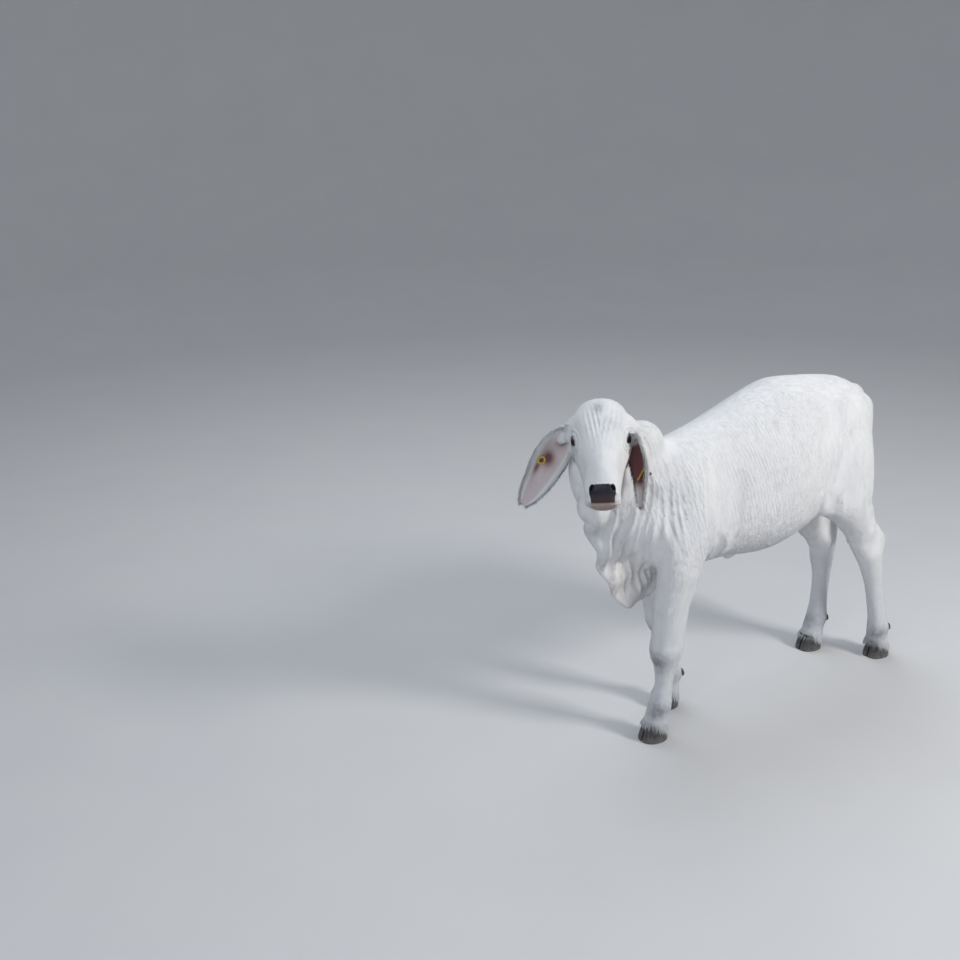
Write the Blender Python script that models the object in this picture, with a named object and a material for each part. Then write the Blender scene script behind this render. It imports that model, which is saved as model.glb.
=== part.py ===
"""A young Brahman calf, life size, standing square on the floor with its head turned to its left.

The calf faces -X, its left side is -Y and the floor is z = 0. The flesh is lofted from a few
profile rows, fused into one body, thinned out and parted with thin cuts into named pieces.
"""

import math

import bmesh
import bpy
import numpy as np
from mathutils import Matrix, Vector
from mathutils.bvhtree import BVHTree

# Driving sizes of the whole animal, in metres.
GAP = 0.0003
GRAIN = 0.006
THINNING = 0.030
RING_POINTS = 40
# How far a point moves to or from the mean of its neighbours in one pass of smoothing.
PULL_IN = 0.55
PUSH_OUT = -0.57
BLENDING = 0.6
# Passes of smoothing over the fused flesh, and again over the raised forms.
FLESH_PASSES = 30
FORM_PASSES = 6
# Steps of a smooth curve between two rows of a table.
ROW_STEPS = 3
# How square each kind of section is: 2 is an ellipse.
TORSO_SQUARE = 2.15
DEWLAP_SQUARE = 2.6
HEAD_SQUARE = 2.2
LIMB_SQUARE = 2.2
# Share of the way from back to front at which neck and dewlap are widest.
NECK_WIDEST = 0.45

# Torso rows: x, height of the back, height of the belly, half width, where it is widest.
TORSO = (
    (-0.428, 0.650, 0.560, 0.030, 0.50),
    (-0.412, 0.715, 0.505, 0.062, 0.48),
    (-0.365, 0.757, 0.458, 0.092, 0.46),
    (-0.300, 0.777, 0.432, 0.106, 0.44),
    (-0.210, 0.797, 0.434, 0.114, 0.42),
    (-0.120, 0.823, 0.434, 0.127, 0.42),
    (-0.020, 0.856, 0.422, 0.138, 0.42),
    (0.060, 0.877, 0.426, 0.139, 0.44),
    (0.160, 0.871, 0.450, 0.128, 0.50),
    (0.250, 0.860, 0.490, 0.118, 0.60),
    (0.315, 0.845, 0.540, 0.110, 0.62),
    (0.368, 0.808, 0.600, 0.084, 0.60),
    (0.396, 0.762, 0.668, 0.046, 0.55),
    (0.408, 0.732, 0.692, 0.022, 0.55),
)

# Neck rows: crest x, y, z, throat x, y, z, half width, turn of the section in degrees.
NECK = (
    (-0.320, 0.000, 0.770, -0.375, 0.000, 0.450, 0.085, 0),
    (-0.385, 0.000, 0.785, -0.435, 0.000, 0.505, 0.082, 4),
    (-0.430, 0.004, 0.802, -0.490, -0.004, 0.560, 0.075, 16),
    (-0.462, 0.016, 0.828, -0.532, -0.016, 0.618, 0.070, 30),
    (-0.484, 0.028, 0.855, -0.556, -0.030, 0.662, 0.066, 44),
    (-0.505, 0.020, 0.862, -0.566, -0.046, 0.706, 0.058, 53),
)

HUMP_CENTRE = (-0.388, 0.002, 0.768)
HUMP_RADII = (0.070, 0.054, 0.070)
THROAT_CENTRE = (-0.560, -0.031, 0.667)
THROAT_RADII = (0.034, 0.034, 0.046)

# Dewlap rows: free edge x, y, z, root x, z, half thickness.
DEWLAP = (
    (-0.592, -0.080, 0.690, -0.540, 0.715, 0.022),
    (-0.578, -0.048, 0.650, -0.510, 0.690, 0.036),
    (-0.560, -0.018, 0.606, -0.470, 0.650, 0.038),
    (-0.530, 0.000, 0.560, -0.440, 0.600, 0.030),
    (-0.512, 0.000, 0.515, -0.415, 0.550, 0.021),
    (-0.504, 0.000, 0.478, -0.395, 0.515, 0.016),
    (-0.484, 0.000, 0.442, -0.370, 0.490, 0.014),
    (-0.460, 0.000, 0.405, -0.350, 0.475, 0.013),
    (-0.434, 0.000, 0.371, -0.330, 0.465, 0.013),
    (-0.400, 0.000, 0.350, -0.310, 0.460, 0.013),
    (-0.355, 0.000, 0.362, -0.280, 0.460, 0.013),
    (-0.310, 0.000, 0.402, -0.250, 0.465, 0.013),
)
PLEATS = 5
PLEAT_DEPTH = 0.010
# How far the root of the dewlap follows its free edge to the side.
ROOT_FOLLOWS = 0.6

# The head sits at the point midway between the eyes and turns from there.
EYE_MIDDLE = (-0.544, -0.0407, 0.831)
HEAD_TURN = 52.5
HEAD_PITCH = 28.0
HEAD_ROLL = 4.8

# Head rows along the face: distance, top, bottom, half width, where it is widest.
HEAD = (
    (-0.122, -0.012, -0.045, 0.024, 0.50),
    (-0.110, 0.018, -0.075, 0.046, 0.55),
    (-0.085, 0.040, -0.104, 0.061, 0.58),
    (-0.050, 0.051, -0.120, 0.070, 0.60),
    (-0.015, 0.052, -0.126, 0.072, 0.58),
    (0.015, 0.046, -0.119, 0.067, 0.62),
    (0.045, 0.039, -0.109, 0.060, 0.62),
    (0.075, 0.033, -0.098, 0.053, 0.58),
    (0.105, 0.027, -0.091, 0.0455, 0.45),
    (0.130, 0.021, -0.087, 0.0415, 0.45),
    (0.148, 0.012, -0.082, 0.040, 0.50),
    (0.162, -0.001, -0.073, 0.036, 0.50),
    (0.170, -0.016, -0.060, 0.025, 0.50),
)

# Limb sections: height, reach to the front, reach to the rear, half width.
FORE_SHAPE = (
    (0.740, 0.034, 0.044, 0.026),
    (0.680, 0.058, 0.066, 0.038),
    (0.610, 0.078, 0.082, 0.046),
    (0.540, 0.074, 0.078, 0.050),
    (0.490, 0.064, 0.064, 0.049),
    (0.455, 0.056, 0.056, 0.046),
    (0.420, 0.052, 0.054, 0.043),
    (0.370, 0.050, 0.049, 0.040),
    (0.320, 0.047, 0.045, 0.038),
    (0.275, 0.047, 0.044, 0.036),
    (0.245, 0.048, 0.045, 0.036),
    (0.215, 0.037, 0.038, 0.031),
    (0.185, 0.028, 0.029, 0.024),
    (0.150, 0.024, 0.026, 0.021),
    (0.120, 0.026, 0.029, 0.023),
    (0.090, 0.031, 0.034, 0.028),
    (0.065, 0.033, 0.031, 0.028),
    (0.040, 0.037, 0.033, 0.031),
    (0.010, 0.038, 0.032, 0.031),
)
HIND_SHAPE = (
    (0.780, 0.100, 0.075, 0.044),
    (0.720, 0.118, 0.090, 0.056),
    (0.620, 0.102, 0.106, 0.059),
    (0.550, 0.102, 0.107, 0.055),
    (0.515, 0.102, 0.102, 0.050),
    (0.490, 0.086, 0.090, 0.046),
    (0.460, 0.070, 0.068, 0.041),
    (0.420, 0.064, 0.066, 0.036),
    (0.390, 0.066, 0.066, 0.033),
    (0.360, 0.058, 0.058, 0.032),
    (0.315, 0.040, 0.041, 0.030),
    (0.280, 0.034, 0.035, 0.026),
    (0.240, 0.030, 0.030, 0.022),
    (0.180, 0.028, 0.029, 0.021),
    (0.130, 0.028, 0.031, 0.023),
    (0.090, 0.033, 0.036, 0.028),
    (0.060, 0.035, 0.032, 0.028),
    (0.040, 0.038, 0.034, 0.031),
    (0.010, 0.039, 0.033, 0.031),
)

# Each leg's own stance: height, x and y of the limb's axis.
STANCE = {
    "fore_left": (
        (0.740, -0.262, -0.052),
        (0.680, -0.274, -0.066),
        (0.540, -0.305, -0.080),
        (0.455, -0.320, -0.086),
        (0.370, -0.333, -0.080),
        (0.245, -0.330, -0.070),
        (0.150, -0.332, -0.066),
        (0.090, -0.341, -0.064),
        (0.010, -0.355, -0.063),
    ),
    "fore_right": (
        (0.740, -0.256, 0.052),
        (0.680, -0.264, 0.066),
        (0.540, -0.268, 0.080),
        (0.455, -0.255, 0.086),
        (0.370, -0.247, 0.080),
        (0.245, -0.220, 0.066),
        (0.150, -0.202, 0.059),
        (0.090, -0.196, 0.053),
        (0.010, -0.214, 0.048),
    ),
    "hind_left": (
        (0.780, 0.285, -0.054),
        (0.620, 0.266, -0.072),
        (0.515, 0.270, -0.086),
        (0.460, 0.328, -0.086),
        (0.420, 0.366, -0.084),
        (0.390, 0.393, -0.082),
        (0.315, 0.422, -0.080),
        (0.240, 0.452, -0.078),
        (0.180, 0.471, -0.076),
        (0.090, 0.497, -0.075),
        (0.010, 0.504, -0.075),
    ),
    "hind_right": (
        (0.780, 0.280, 0.054),
        (0.620, 0.255, 0.072),
        (0.515, 0.250, 0.086),
        (0.460, 0.312, 0.084),
        (0.420, 0.354, 0.082),
        (0.390, 0.383, 0.080),
        (0.315, 0.413, 0.076),
        (0.240, 0.411, 0.073),
        (0.180, 0.405, 0.071),
        (0.090, 0.399, 0.070),
        (0.010, 0.376, 0.068),
    ),
}


# Muscles, bones and hollows on both sides: x, y, z, three radii, height off the skin.
FORMS = (
    (-0.385, 0.084, 0.585, 0.036, 0.036, 0.042, 0.010),
    (-0.290, 0.100, 0.690, 0.040, 0.040, 0.080, 0.007),
    (-0.255, 0.118, 0.560, 0.045, 0.040, 0.060, 0.009),
    (-0.180, 0.118, 0.640, 0.034, 0.050, 0.110, -0.006),
    (0.175, 0.115, 0.755, 0.050, 0.050, 0.055, -0.009),
    (0.222, 0.100, 0.822, 0.034, 0.030, 0.028, 0.010),
    (0.375, 0.055, 0.780, 0.030, 0.028, 0.030, 0.009),
    (0.190, 0.122, 0.550, 0.045, 0.035, 0.050, 0.009),
    (0.320, 0.120, 0.640, 0.050, 0.035, 0.080, 0.006),
)
# Forms that only one place has, in the same columns.
LONE_FORMS = (
    (-0.058, 0.000, 0.420, 0.034, 0.018, 0.030, 0.014),
    (0.318, 0.080, 0.390, 0.034, 0.045, 0.080, 0.017),
    (0.368, 0.076, 0.290, 0.030, 0.035, 0.055, 0.014),
    (0.452, 0.078, 0.380, 0.030, 0.040, 0.070, 0.010),
)
# Places where forms flow into each other: x, z, radius, passes of plain smoothing.
BLENDS = (
    (-0.340, 0.790, 0.085, 16),
    (-0.430, 0.800, 0.070, 12),
    (-0.300, 0.640, 0.120, 10),
    (-0.420, 0.560, 0.100, 8),
    (0.230, 0.660, 0.130, 10),
    (0.375, 0.700, 0.080, 8),
    (0.175, 0.520, 0.070, 14),
)

# Cuts of the trunk as paths in side view, with the half width of each and a point in the piece.
# The one behind the head runs from above the poll down to the throat and forward under the jaw.
NECK_TURN = 44
HEAD_CUT = ((-0.168, 0.129), (-0.030, -0.155), (0.210, -0.165))
HEAD_CUT_HALF = 0.14
HEAD_INSIDE = (0.05, 0, 0.03)
TRUNK_CUTS = (
    ("barrel", "chest", ((-0.150, 0.95), (-0.150, 0.38)), 0.2, (-0.3, 0, 0.6)),
    ("barrel", "rump", ((0.145, 0.95), (0.145, 0.38)), 0.2, (0.3, 0, 0.8)),
    ("chest", "hump", ((-0.290, 0.784), (-0.475, 0.846)), 0.1, (-0.388, 0, 0.84)),
    ("chest", "dewlap", ((-0.290, 0.3485), (-0.640, 0.7615)), (0.018, 0.105), (-0.48, 0, 0.44)),
    ("chest", "neck", ((-0.305, 0.850), (-0.452, 0.440)), 0.16, (-0.50, 0, 0.70)),
)

# The cuts over each limb as seen from the front: distance from the middle plane and height.
SHOULDER_CUT = ((0.020, 0.340), (0.020, 0.440), (0.200, 0.730))
THIGH_CUT = ((0.020, 0.400), (0.020, 0.500), (0.200, 0.730))
# Half length of those cuts, where they stand along the body, and a point in the limb.
LIMB_CUT_HALF = 0.33
SHOULDER_CUT_X = -0.36
THIGH_CUT_X = 0.36
LIMB_INSIDE_HEIGHT = 0.40
LIMB_INSIDE_OUT = 0.08

# Where each limb is cut: the piece below, its height and the slope of the cut.
FORE_CUTS = (
    ("forearm", 0.400, 0.0),
    ("knee", 0.287, 0.0),
    ("cannon", 0.203, 0.0),
    ("pastern", 0.116, 0.0),
)
HIND_CUTS = (
    ("gaskin", 0.478, 0.75),
    ("hock", 0.400, 0.75),
    ("cannon", 0.283, 0.15),
    ("pastern", 0.116, 0.0),
)

# Cuts across a limb: half length, half width, and how far below the cut the piece is sought.
JOINT_CUT_REACH = 0.10
JOINT_CUT_HALF = 0.075
JOINT_INSIDE = 0.05

# Eyes, in the head's own axes: along the face, to the calf's left and up.
EYE_SPOT = (0.0035, 0.0490, 0.0006)
EYE_LOOK = (0.58, 0.74, 0.34)
EYE_RADIUS = 0.0175
LID_HALF_LENGTH = 0.0150
LID_HALF_HEIGHT = 0.0105
LID_RADIUS = 0.0028
LID_SLANT = -5
LID_POINTS = 16
LID_SIDES = 6
# How far outside the opening the raised rim runs, along and across, and how proud it stands.
RIM_ALONG = 1.12
RIM_ACROSS = 1.2
RIM_PROUD = 0.0004
# Opening between the lids: reach out of the eye and growth of the almond there.
LID_OPENING = ((0.002, 0.95), (0.016, 1.0), (0.040, 1.3))

# Mouth, nose and lips, in the same axes without the sideways one.
MOUTH_CORNER = (0.105, -0.070)
MOUTH_FRONT = (0.185, -0.030)
# The mouth line: where its rays start, their number to each side and the degrees between two.
MOUTH_START = 0.012
MOUTH_RAYS = 6
MOUTH_STEP = 17
LIP_RADIUS = 0.0055
LIP_SIDES = 6
# A lip's middle stands off the line and sinks into the skin by these shares of its radius.
LIP_OFF = 0.9
LIP_SUNK = 0.55
# The lips thin out by this share towards the corners.
LIP_TAPER = 0.45
MOUTH_DEPTH = 0.005
MOUTH_FLARE = 0.004
MOUTH_OUT = 0.006
JAW_CUT_BACK = (0.092, -0.170)
JAW_CUT_HALF = 0.08
JAW_INSIDE = (0.150, 0, -0.080)
NOSE_BACK = 0.143
NOSE_FRONT = 0.220
NOSE_MIDDLE = 0.014
NOSE_OUTLINE = (
    (0.000, 0.008),
    (0.022, 0.008),
    (0.029, 0.002),
    (0.031, -0.010),
    (0.029, -0.024),
    (0.024, -0.050),
)
NOSTRIL = (0.155, 0.0245, -0.003)
NOSTRIL_RADII = (0.011, 0.0052, 0.0085)
NOSTRIL_TURN = 38
NOSTRIL_PITCH = -20

# Ears: centre lines in the head's axes from root to tip, and where each cup opens.
EARS = {
    "ear_right": (
        (-0.032, -0.052, -0.010),
        (-0.018, -0.087, -0.017),
        (0.004, -0.116, -0.049),
        (0.034, -0.149, -0.094),
        (0.070, -0.189, -0.142),
    ),
    "ear_left": (
        (-0.032, 0.054, -0.010),
        (-0.012, 0.087, -0.026),
        (0.016, 0.099, -0.058),
        (0.052, 0.095, -0.099),
        (0.092, 0.085, -0.143),
    ),
}
EAR_OPENING = {"ear_right": (0.87, -0.04, 0.49), "ear_left": (0.355, -0.833, 0.425)}
# Half width of each leaf and half the angle that it curls through, at even steps to the tip.
EAR_OUTLINE = {
    "ear_right": (0.026, 0.031, 0.035, 0.039, 0.041, 0.042, 0.042, 0.040, 0.037, 0.032, 0.027, 0.020,
                  0.007),
    "ear_left": (0.027, 0.035, 0.040, 0.044, 0.045, 0.045, 0.044, 0.040, 0.033, 0.026, 0.020, 0.014,
                 0.006),
}
EAR_CURL = {
    "ear_right": (150, 112, 86, 74, 68, 63, 58, 54, 50, 46, 42, 40, 38),
    "ear_left": (150, 125, 105, 94, 86, 80, 76, 73, 70, 68, 66, 64, 60),
}
EAR_THICKNESS = 0.0045
EAR_ACROSS = 9
# The fleshy root of each ear, in the head's axes: along the face, out to the side, up, radius.
EAR_ROOT = (
    (-0.040, 0.035, 0.012, 0.030),
    (-0.034, 0.060, 0.003, 0.024),
    (-0.021, 0.083, -0.008, 0.017),
    (-0.008, 0.098, -0.021, 0.011),
)

# Ear tags: section of the ear, share across it, and sizes of the button, plate and studs.
# The reaches of a disc are measured off the face of the ear that it lies on.
BUTTON_SECTION = 7
BUTTON_SHARE = 0.44
BUTTON_RADIUS = 0.0110
BUTTON_REACH = (0.0012, 0.0042)
BUTTON_STUD_RADIUS = 0.0075
BUTTON_STUD_REACH = (-0.0045, -0.0014)
PLATE_SECTION = 8
PLATE_LONG = (0.663, -0.502, -0.551)
PLATE_FACE = (0.299, 0.855, -0.419)
PLATE_HALF = (0.018, 0.010, 0.0012)
PLATE_LIFT = 0.011
PLATE_STUD_RADIUS = 0.006
PLATE_STUD_REACH = (-0.0130, -0.0008)
DISC_SIDES = 18

# Hooves.
CORONET_HEIGHT = 0.040
CORONET_SLOPE = 0.34
CLAW_FRONT = 0.041
CLAW_REAR = 0.034
CLAW_WIDTH = 0.0315
# Rings of a claw: share of the way up to the coronet, and size there.
CLAW_LEVELS = ((1.0, 0.80), (0.55, 0.89), (0.12, 0.976), (0.0, 0.965))
CLAW_LEAN = 0.025
# Points along the round side of a claw, and how full that side is: 1 is half an ellipse.
CLAW_POINTS = 11
CLAW_FULLNESS = 0.75
CLEFT = 0.0045
# Half length and half width of the cut at the coronet, and a point in the sole below it.
SOLE_CUT_REACH = 0.08
SOLE_CUT_HALF = 0.06
SOLE_INSIDE = 0.012
DEWCLAW_HEIGHT = 0.088
DEWCLAW_RADIUS = 0.0085
DEWCLAW_LENGTH = 0.020
DEWCLAW_TAPER = 0.45
DEWCLAW_SIDES = 10
DEWCLAW_BACK = 0.027
DEWCLAW_OUT = 0.016
DEWCLAW_WAY = (0.55, 0.12, -0.82)

# Tail: x and z of its core from the root down, and its radius there.
TAIL = (
    (0.320, 0.795, 0.018),
    (0.360, 0.802, 0.020),
    (0.392, 0.790, 0.019),
    (0.412, 0.755, 0.0165),
    (0.419, 0.700, 0.015),
    (0.419, 0.620, 0.0135),
    (0.423, 0.540, 0.012),
    (0.429, 0.460, 0.010),
    (0.431, 0.425, 0.006),
)
TAIL_STEPS = 2
TAIL_SIDES = 10
# Where the switch is cut from the tail: height, and the cut's two ends and half width.
TAIL_SPLIT = 0.490
TAIL_CUT_ENDS = (0.38, 0.48)
TAIL_CUT_HALF = 0.05
SWITCH_INSIDE = (0.43, 0, 0.43)

# Locks of the switch: they root in rows round its core and turn by this angle from one to the next.
LOCKS = 14
LOCK_ROWS = 3
LOCK_TURN = 2.4
LOCK_ROOT = (0.430, 0, 0.478)
LOCK_ROW_STEP = 0.016
LOCK_TIP = 0.335
LOCK_TIP_STEP = 0.014
LOCK_TIP_STEPS = 7
# A lock leaves the core by its offset, bulges, swings aside, and tapers to a thin tip.
LOCK_RINGS = 5
LOCK_OFFSET = 0.004
LOCK_BULGE = 0.013
LOCK_SWING = 0.006
LOCK_SWING_TURN = 1.1
LOCK_WIDTH = 0.0095
LOCK_TIP_WIDTH = 0.0012
LOCK_FLATNESS = 0.45
LOCK_SIDES = 5

# Materials: colour, roughness and metallic.
COAT = ((0.66, 0.66, 0.68), 0.85, 0.0)
EAR_SKIN = ((0.55, 0.50, 0.50), 0.80, 0.0)
NOSE = ((0.032, 0.030, 0.040), 0.45, 0.0)
CHIN = ((0.40, 0.37, 0.37), 0.75, 0.0)
EYE = ((0.010, 0.009, 0.010), 0.15, 0.0)
HORN = ((0.090, 0.076, 0.074), 0.55, 0.0)
SWITCH_HAIR = ((0.075, 0.065, 0.062), 0.85, 0.0)
TAG_YELLOW = ((0.62, 0.50, 0.10), 0.45, 0.0)
TAG_DARK = ((0.030, 0.028, 0.030), 0.50, 0.0)
# The first words found in a piece's name choose its material.
LOOKS = (
    (("claw",), HORN),
    (("nose_pad",), NOSE),
    (("lower_jaw",), CHIN),
    (("eye_",), EYE),
    (("tag_left_plate", "tag_right_button"), TAG_YELLOW),
    (("tag_",), TAG_DARK),
    (("ear_",), EAR_SKIN),
    (("switch",), SWITCH_HAIR),
)


def clear_scene():
    """Remove whatever the file opened with."""
    for thing in list(bpy.data.objects):
        bpy.data.objects.remove(thing, do_unlink=True)


def smooth_rows(rows, steps):
    """Read a smooth curve through rows of numbers, with a few steps between each two."""
    points = np.array(rows, float)
    padded = np.vstack([2 * points[0] - points[1], points, 2 * points[-1] - points[-2]])
    out = []
    for k in range(1, len(padded) - 2):
        before, here, there, after = padded[k - 1:k + 3]
        for step in range(steps):
            t = step / steps
            out.append(0.5 * (2 * here + (there - before) * t
                              + (2 * before - 5 * here + 4 * there - after) * t ** 2
                              + (3 * here - before - 3 * there + after) * t ** 3))
    out.append(points[-1])
    return out


def hoop(front, back, half_width, side, widest=0.5, power=2.0):
    """Draw one closed section between a front and a back point, widest at a share of the way."""
    front = Vector(front)
    back = Vector(back)
    middle = back.lerp(front, widest)
    ring = []
    for k in range(RING_POINTS):
        angle = 2 * math.pi * k / RING_POINTS
        across = math.copysign(abs(math.cos(angle)) ** (2 / power), math.cos(angle))
        along = math.copysign(abs(math.sin(angle)) ** (2 / power), math.sin(angle))
        reach = front - middle if along > 0 else middle - back
        ring.append(middle + reach * along + side * (half_width * across))
    return ring


def loft(bm, rings, ends="flat"):
    """Bridge rings into one closed sleeve facing out: flat ends, folded ends or a full round."""
    loops = []
    for ring in rings:
        loops.append([bm.verts.new(point) for point in ring])
    faces = []
    if ends == "flat":
        faces = [bm.faces.new(loops[0]), bm.faces.new(loops[-1])]
    if ends == "folded":
        for ring in (loops[0], loops[-1]):
            for k in range(len(ring) // 2 - 1):
                faces.append(bm.faces.new((ring[k], ring[k + 1], ring[-k - 2], ring[-k - 1])))
    following = loops[1:] + loops[:1] if ends == "round" else loops[1:]
    for near, far in zip(loops, following):
        for k in range(len(near)):
            after = (k + 1) % len(near)
            faces.append(bm.faces.new((near[k], near[after], far[after], far[k])))
    bmesh.ops.recalc_face_normals(bm, faces=faces)


def ellipsoid(bm, centre, radii, turn=None):
    """Add a ball stretched to three radii."""
    matrix = Matrix.Translation(centre) @ (turn or Matrix()) @ Matrix.Diagonal((*radii, 1))
    bmesh.ops.create_uvsphere(bm, u_segments=24, v_segments=16, radius=1, matrix=matrix)


def head_matrix():
    """Place the head's own axes: along the face, to its left, and up."""
    turn = Matrix.Rotation(math.pi + math.radians(HEAD_TURN), 4, "Z")
    pitch = Matrix.Rotation(math.radians(HEAD_PITCH), 4, "Y")
    roll = Matrix.Rotation(math.radians(HEAD_ROLL), 4, "X")
    return Matrix.Translation(EYE_MIDDLE) @ turn @ pitch @ roll


def torso_rings():
    side = Vector((0, -1, 0))
    rings = []
    for x, back, belly, width, widest in smooth_rows(TORSO, ROW_STEPS):
        rings.append(hoop((x, 0, back), (x, 0, belly), width, side, widest, TORSO_SQUARE))
    return rings


def neck_rings():
    rings = []
    for cx, cy, cz, tx, ty, tz, width, turn in smooth_rows(NECK, ROW_STEPS):
        side = Matrix.Rotation(math.radians(turn), 3, "Z") @ Vector((0, -1, 0))
        rings.append(hoop((cx, cy, cz), (tx, ty, tz), width, side, NECK_WIDEST))
    return rings


def dewlap_rings():
    rings = []
    rows = smooth_rows(DEWLAP, 4)
    for k, (ex, ey, ez, rx, rz, width) in enumerate(rows):
        wave = PLEAT_DEPTH * math.sin(2 * math.pi * PLEATS * k / len(rows))
        side = Vector((0, -1, 0))
        root = (rx, ey * ROOT_FOLLOWS, rz)
        rings.append(hoop((ex, ey + wave, ez), root, width, side, NECK_WIDEST, DEWLAP_SQUARE))
    return rings


def head_rings():
    place = head_matrix()
    rings = []
    side = Vector((0, 1, 0))
    for along, top, bottom, width, widest in smooth_rows(HEAD, ROW_STEPS):
        ring = hoop((along, 0, top), (along, 0, bottom), width, side, widest, HEAD_SQUARE)
        rings.append([place @ point for point in ring])
    return rings


def limb_rings(shape, stance):
    """Hang a limb's sections on its own axis."""
    heights = [row[0] for row in reversed(stance)]
    xs = [row[1] for row in reversed(stance)]
    ys = [row[2] for row in reversed(stance)]
    side = Vector((0, -1, 0))
    rings = []
    for height, front, rear, width in smooth_rows(shape, ROW_STEPS):
        x = float(np.interp(height, heights, xs))
        y = float(np.interp(height, heights, ys))
        ends = (x - front, y, height), (x + rear, y, height)
        rings.append(hoop(*ends, width, side, power=LIMB_SQUARE))
    return rings


def ear_root_rings(sign):
    """Draw the fleshy root of one ear as rings that narrow away from the head."""
    place = head_matrix()
    rows = smooth_rows(EAR_ROOT, ROW_STEPS)
    centres = [place @ Vector((along, sign * out, up)) for along, out, up, radius in rows]
    rings = []
    for k, centre in enumerate(centres):
        run = centres[min(k + 1, len(centres) - 1)] - centres[max(k - 1, 0)]
        rings.append(circle(centre, run, rows[k][3], RING_POINTS))
    return rings


def fused_flesh():
    """Loft every soft form and fuse them into one closed skin."""
    bm = bmesh.new()
    loft(bm, ear_root_rings(1))
    loft(bm, ear_root_rings(-1))
    loft(bm, torso_rings())
    loft(bm, neck_rings())
    loft(bm, dewlap_rings())
    loft(bm, head_rings())
    ellipsoid(bm, HUMP_CENTRE, HUMP_RADII)
    ellipsoid(bm, THROAT_CENTRE, THROAT_RADII)
    for leg, stance in STANCE.items():
        shape = FORE_SHAPE if leg.startswith("fore") else HIND_SHAPE
        loft(bm, limb_rings(shape, stance))
    mesh = bpy.data.meshes.new("flesh")
    bm.to_mesh(mesh)
    bm.free()
    flesh = bpy.data.objects.new("flesh", mesh)
    bpy.context.scene.collection.objects.link(flesh)
    remesh = flesh.modifiers.new("fuse", "REMESH")
    remesh.mode = "VOXEL"
    remesh.voxel_size = GRAIN
    apply_modifiers(flesh)
    return flesh


def apply_modifiers(thing):
    """Bake an object's modifiers into its mesh."""
    depsgraph = bpy.context.evaluated_depsgraph_get()
    baked = bpy.data.meshes.new_from_object(thing.evaluated_get(depsgraph))
    old = thing.data
    thing.modifiers.clear()
    thing.data = baked
    bpy.data.meshes.remove(old)


def mesh_points(mesh):
    points = np.empty(len(mesh.vertices) * 3)
    mesh.vertices.foreach_get("co", points)
    return points.reshape(-1, 3)


def mesh_edges(mesh):
    """Give the two ends of every edge."""
    edges = np.empty(len(mesh.edges) * 2, int)
    mesh.edges.foreach_get("vertices", edges)
    return edges.reshape(-1, 2).T


def neighbour_mean(points, ends):
    """Give the mean place of each point's neighbours."""
    a, b = ends
    size = len(points)
    count = np.bincount(a, minlength=size) + np.bincount(b, minlength=size)
    total = np.zeros_like(points)
    for axis in range(3):
        total[:, axis] = np.bincount(a, points[b, axis], size) + np.bincount(b, points[a, axis], size)
    return total / count[:, None]


def relax(mesh, passes):
    """Smooth a mesh without shrinking it, by passes that pull in and push out again."""
    ends = mesh_edges(mesh)
    points = mesh_points(mesh)
    for k in range(passes):
        for factor in (PULL_IN, PUSH_OUT):
            points += factor * (neighbour_mean(points, ends) - points)
    mesh.vertices.foreach_set("co", points.ravel())
    mesh.update()


def vertex_normals(mesh):
    normals = np.empty(len(mesh.vertices) * 3)
    mesh.vertex_normals.foreach_get("vector", normals)
    return normals.reshape(-1, 3)


def raise_forms(mesh):
    """Push muscles and bones out of the skin, and hollows in."""
    points = mesh_points(mesh)
    normals = vertex_normals(mesh)
    rows = list(LONE_FORMS)
    for x, y, z, rx, ry, rz, height in FORMS:
        rows.append((x, y, z, rx, ry, rz, height))
        rows.append((x, -y, z, rx, ry, rz, height))
    for x, y, z, rx, ry, rz, height in rows:
        away = (points - (x, y, z)) / (rx, ry, rz)
        points += normals * (height * np.exp(-(away ** 2).sum(1)))[:, None]
    mesh.vertices.foreach_set("co", points.ravel())
    mesh.update()


def blend_places(mesh):
    """Let limbs and hump flow into the trunk by plain smoothing near each join."""
    ends = mesh_edges(mesh)
    points = mesh_points(mesh)
    for x, z, radius, passes in BLENDS:
        share = np.exp(-(((points[:, 0] - x) ** 2 + (points[:, 2] - z) ** 2) / radius ** 2) ** 2)
        for k in range(passes):
            points += BLENDING * share[:, None] * (neighbour_mean(points, ends) - points)
    mesh.vertices.foreach_set("co", points.ravel())
    mesh.update()


def thin_out(flesh):
    """Reduce the skin to a few thousand triangles."""
    thin = flesh.modifiers.new("thin", "DECIMATE")
    thin.ratio = THINNING
    thin.use_collapse_triangulate = True
    apply_modifiers(flesh)


def new_object(name, bm):
    """Turn a bmesh into an object and link it."""
    mesh = bpy.data.meshes.new(name)
    bm.to_mesh(mesh)
    bm.free()
    thing = bpy.data.objects.new(name, mesh)
    bpy.context.scene.collection.objects.link(thing)
    return thing


def boolean(target, tool, operation):
    """Apply one Boolean and remove its tool."""
    step = target.modifiers.new("boolean", "BOOLEAN")
    step.operation = operation
    step.solver = "EXACT"
    step.object = tool
    apply_modifiers(target)
    bpy.data.objects.remove(tool, do_unlink=True)


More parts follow.
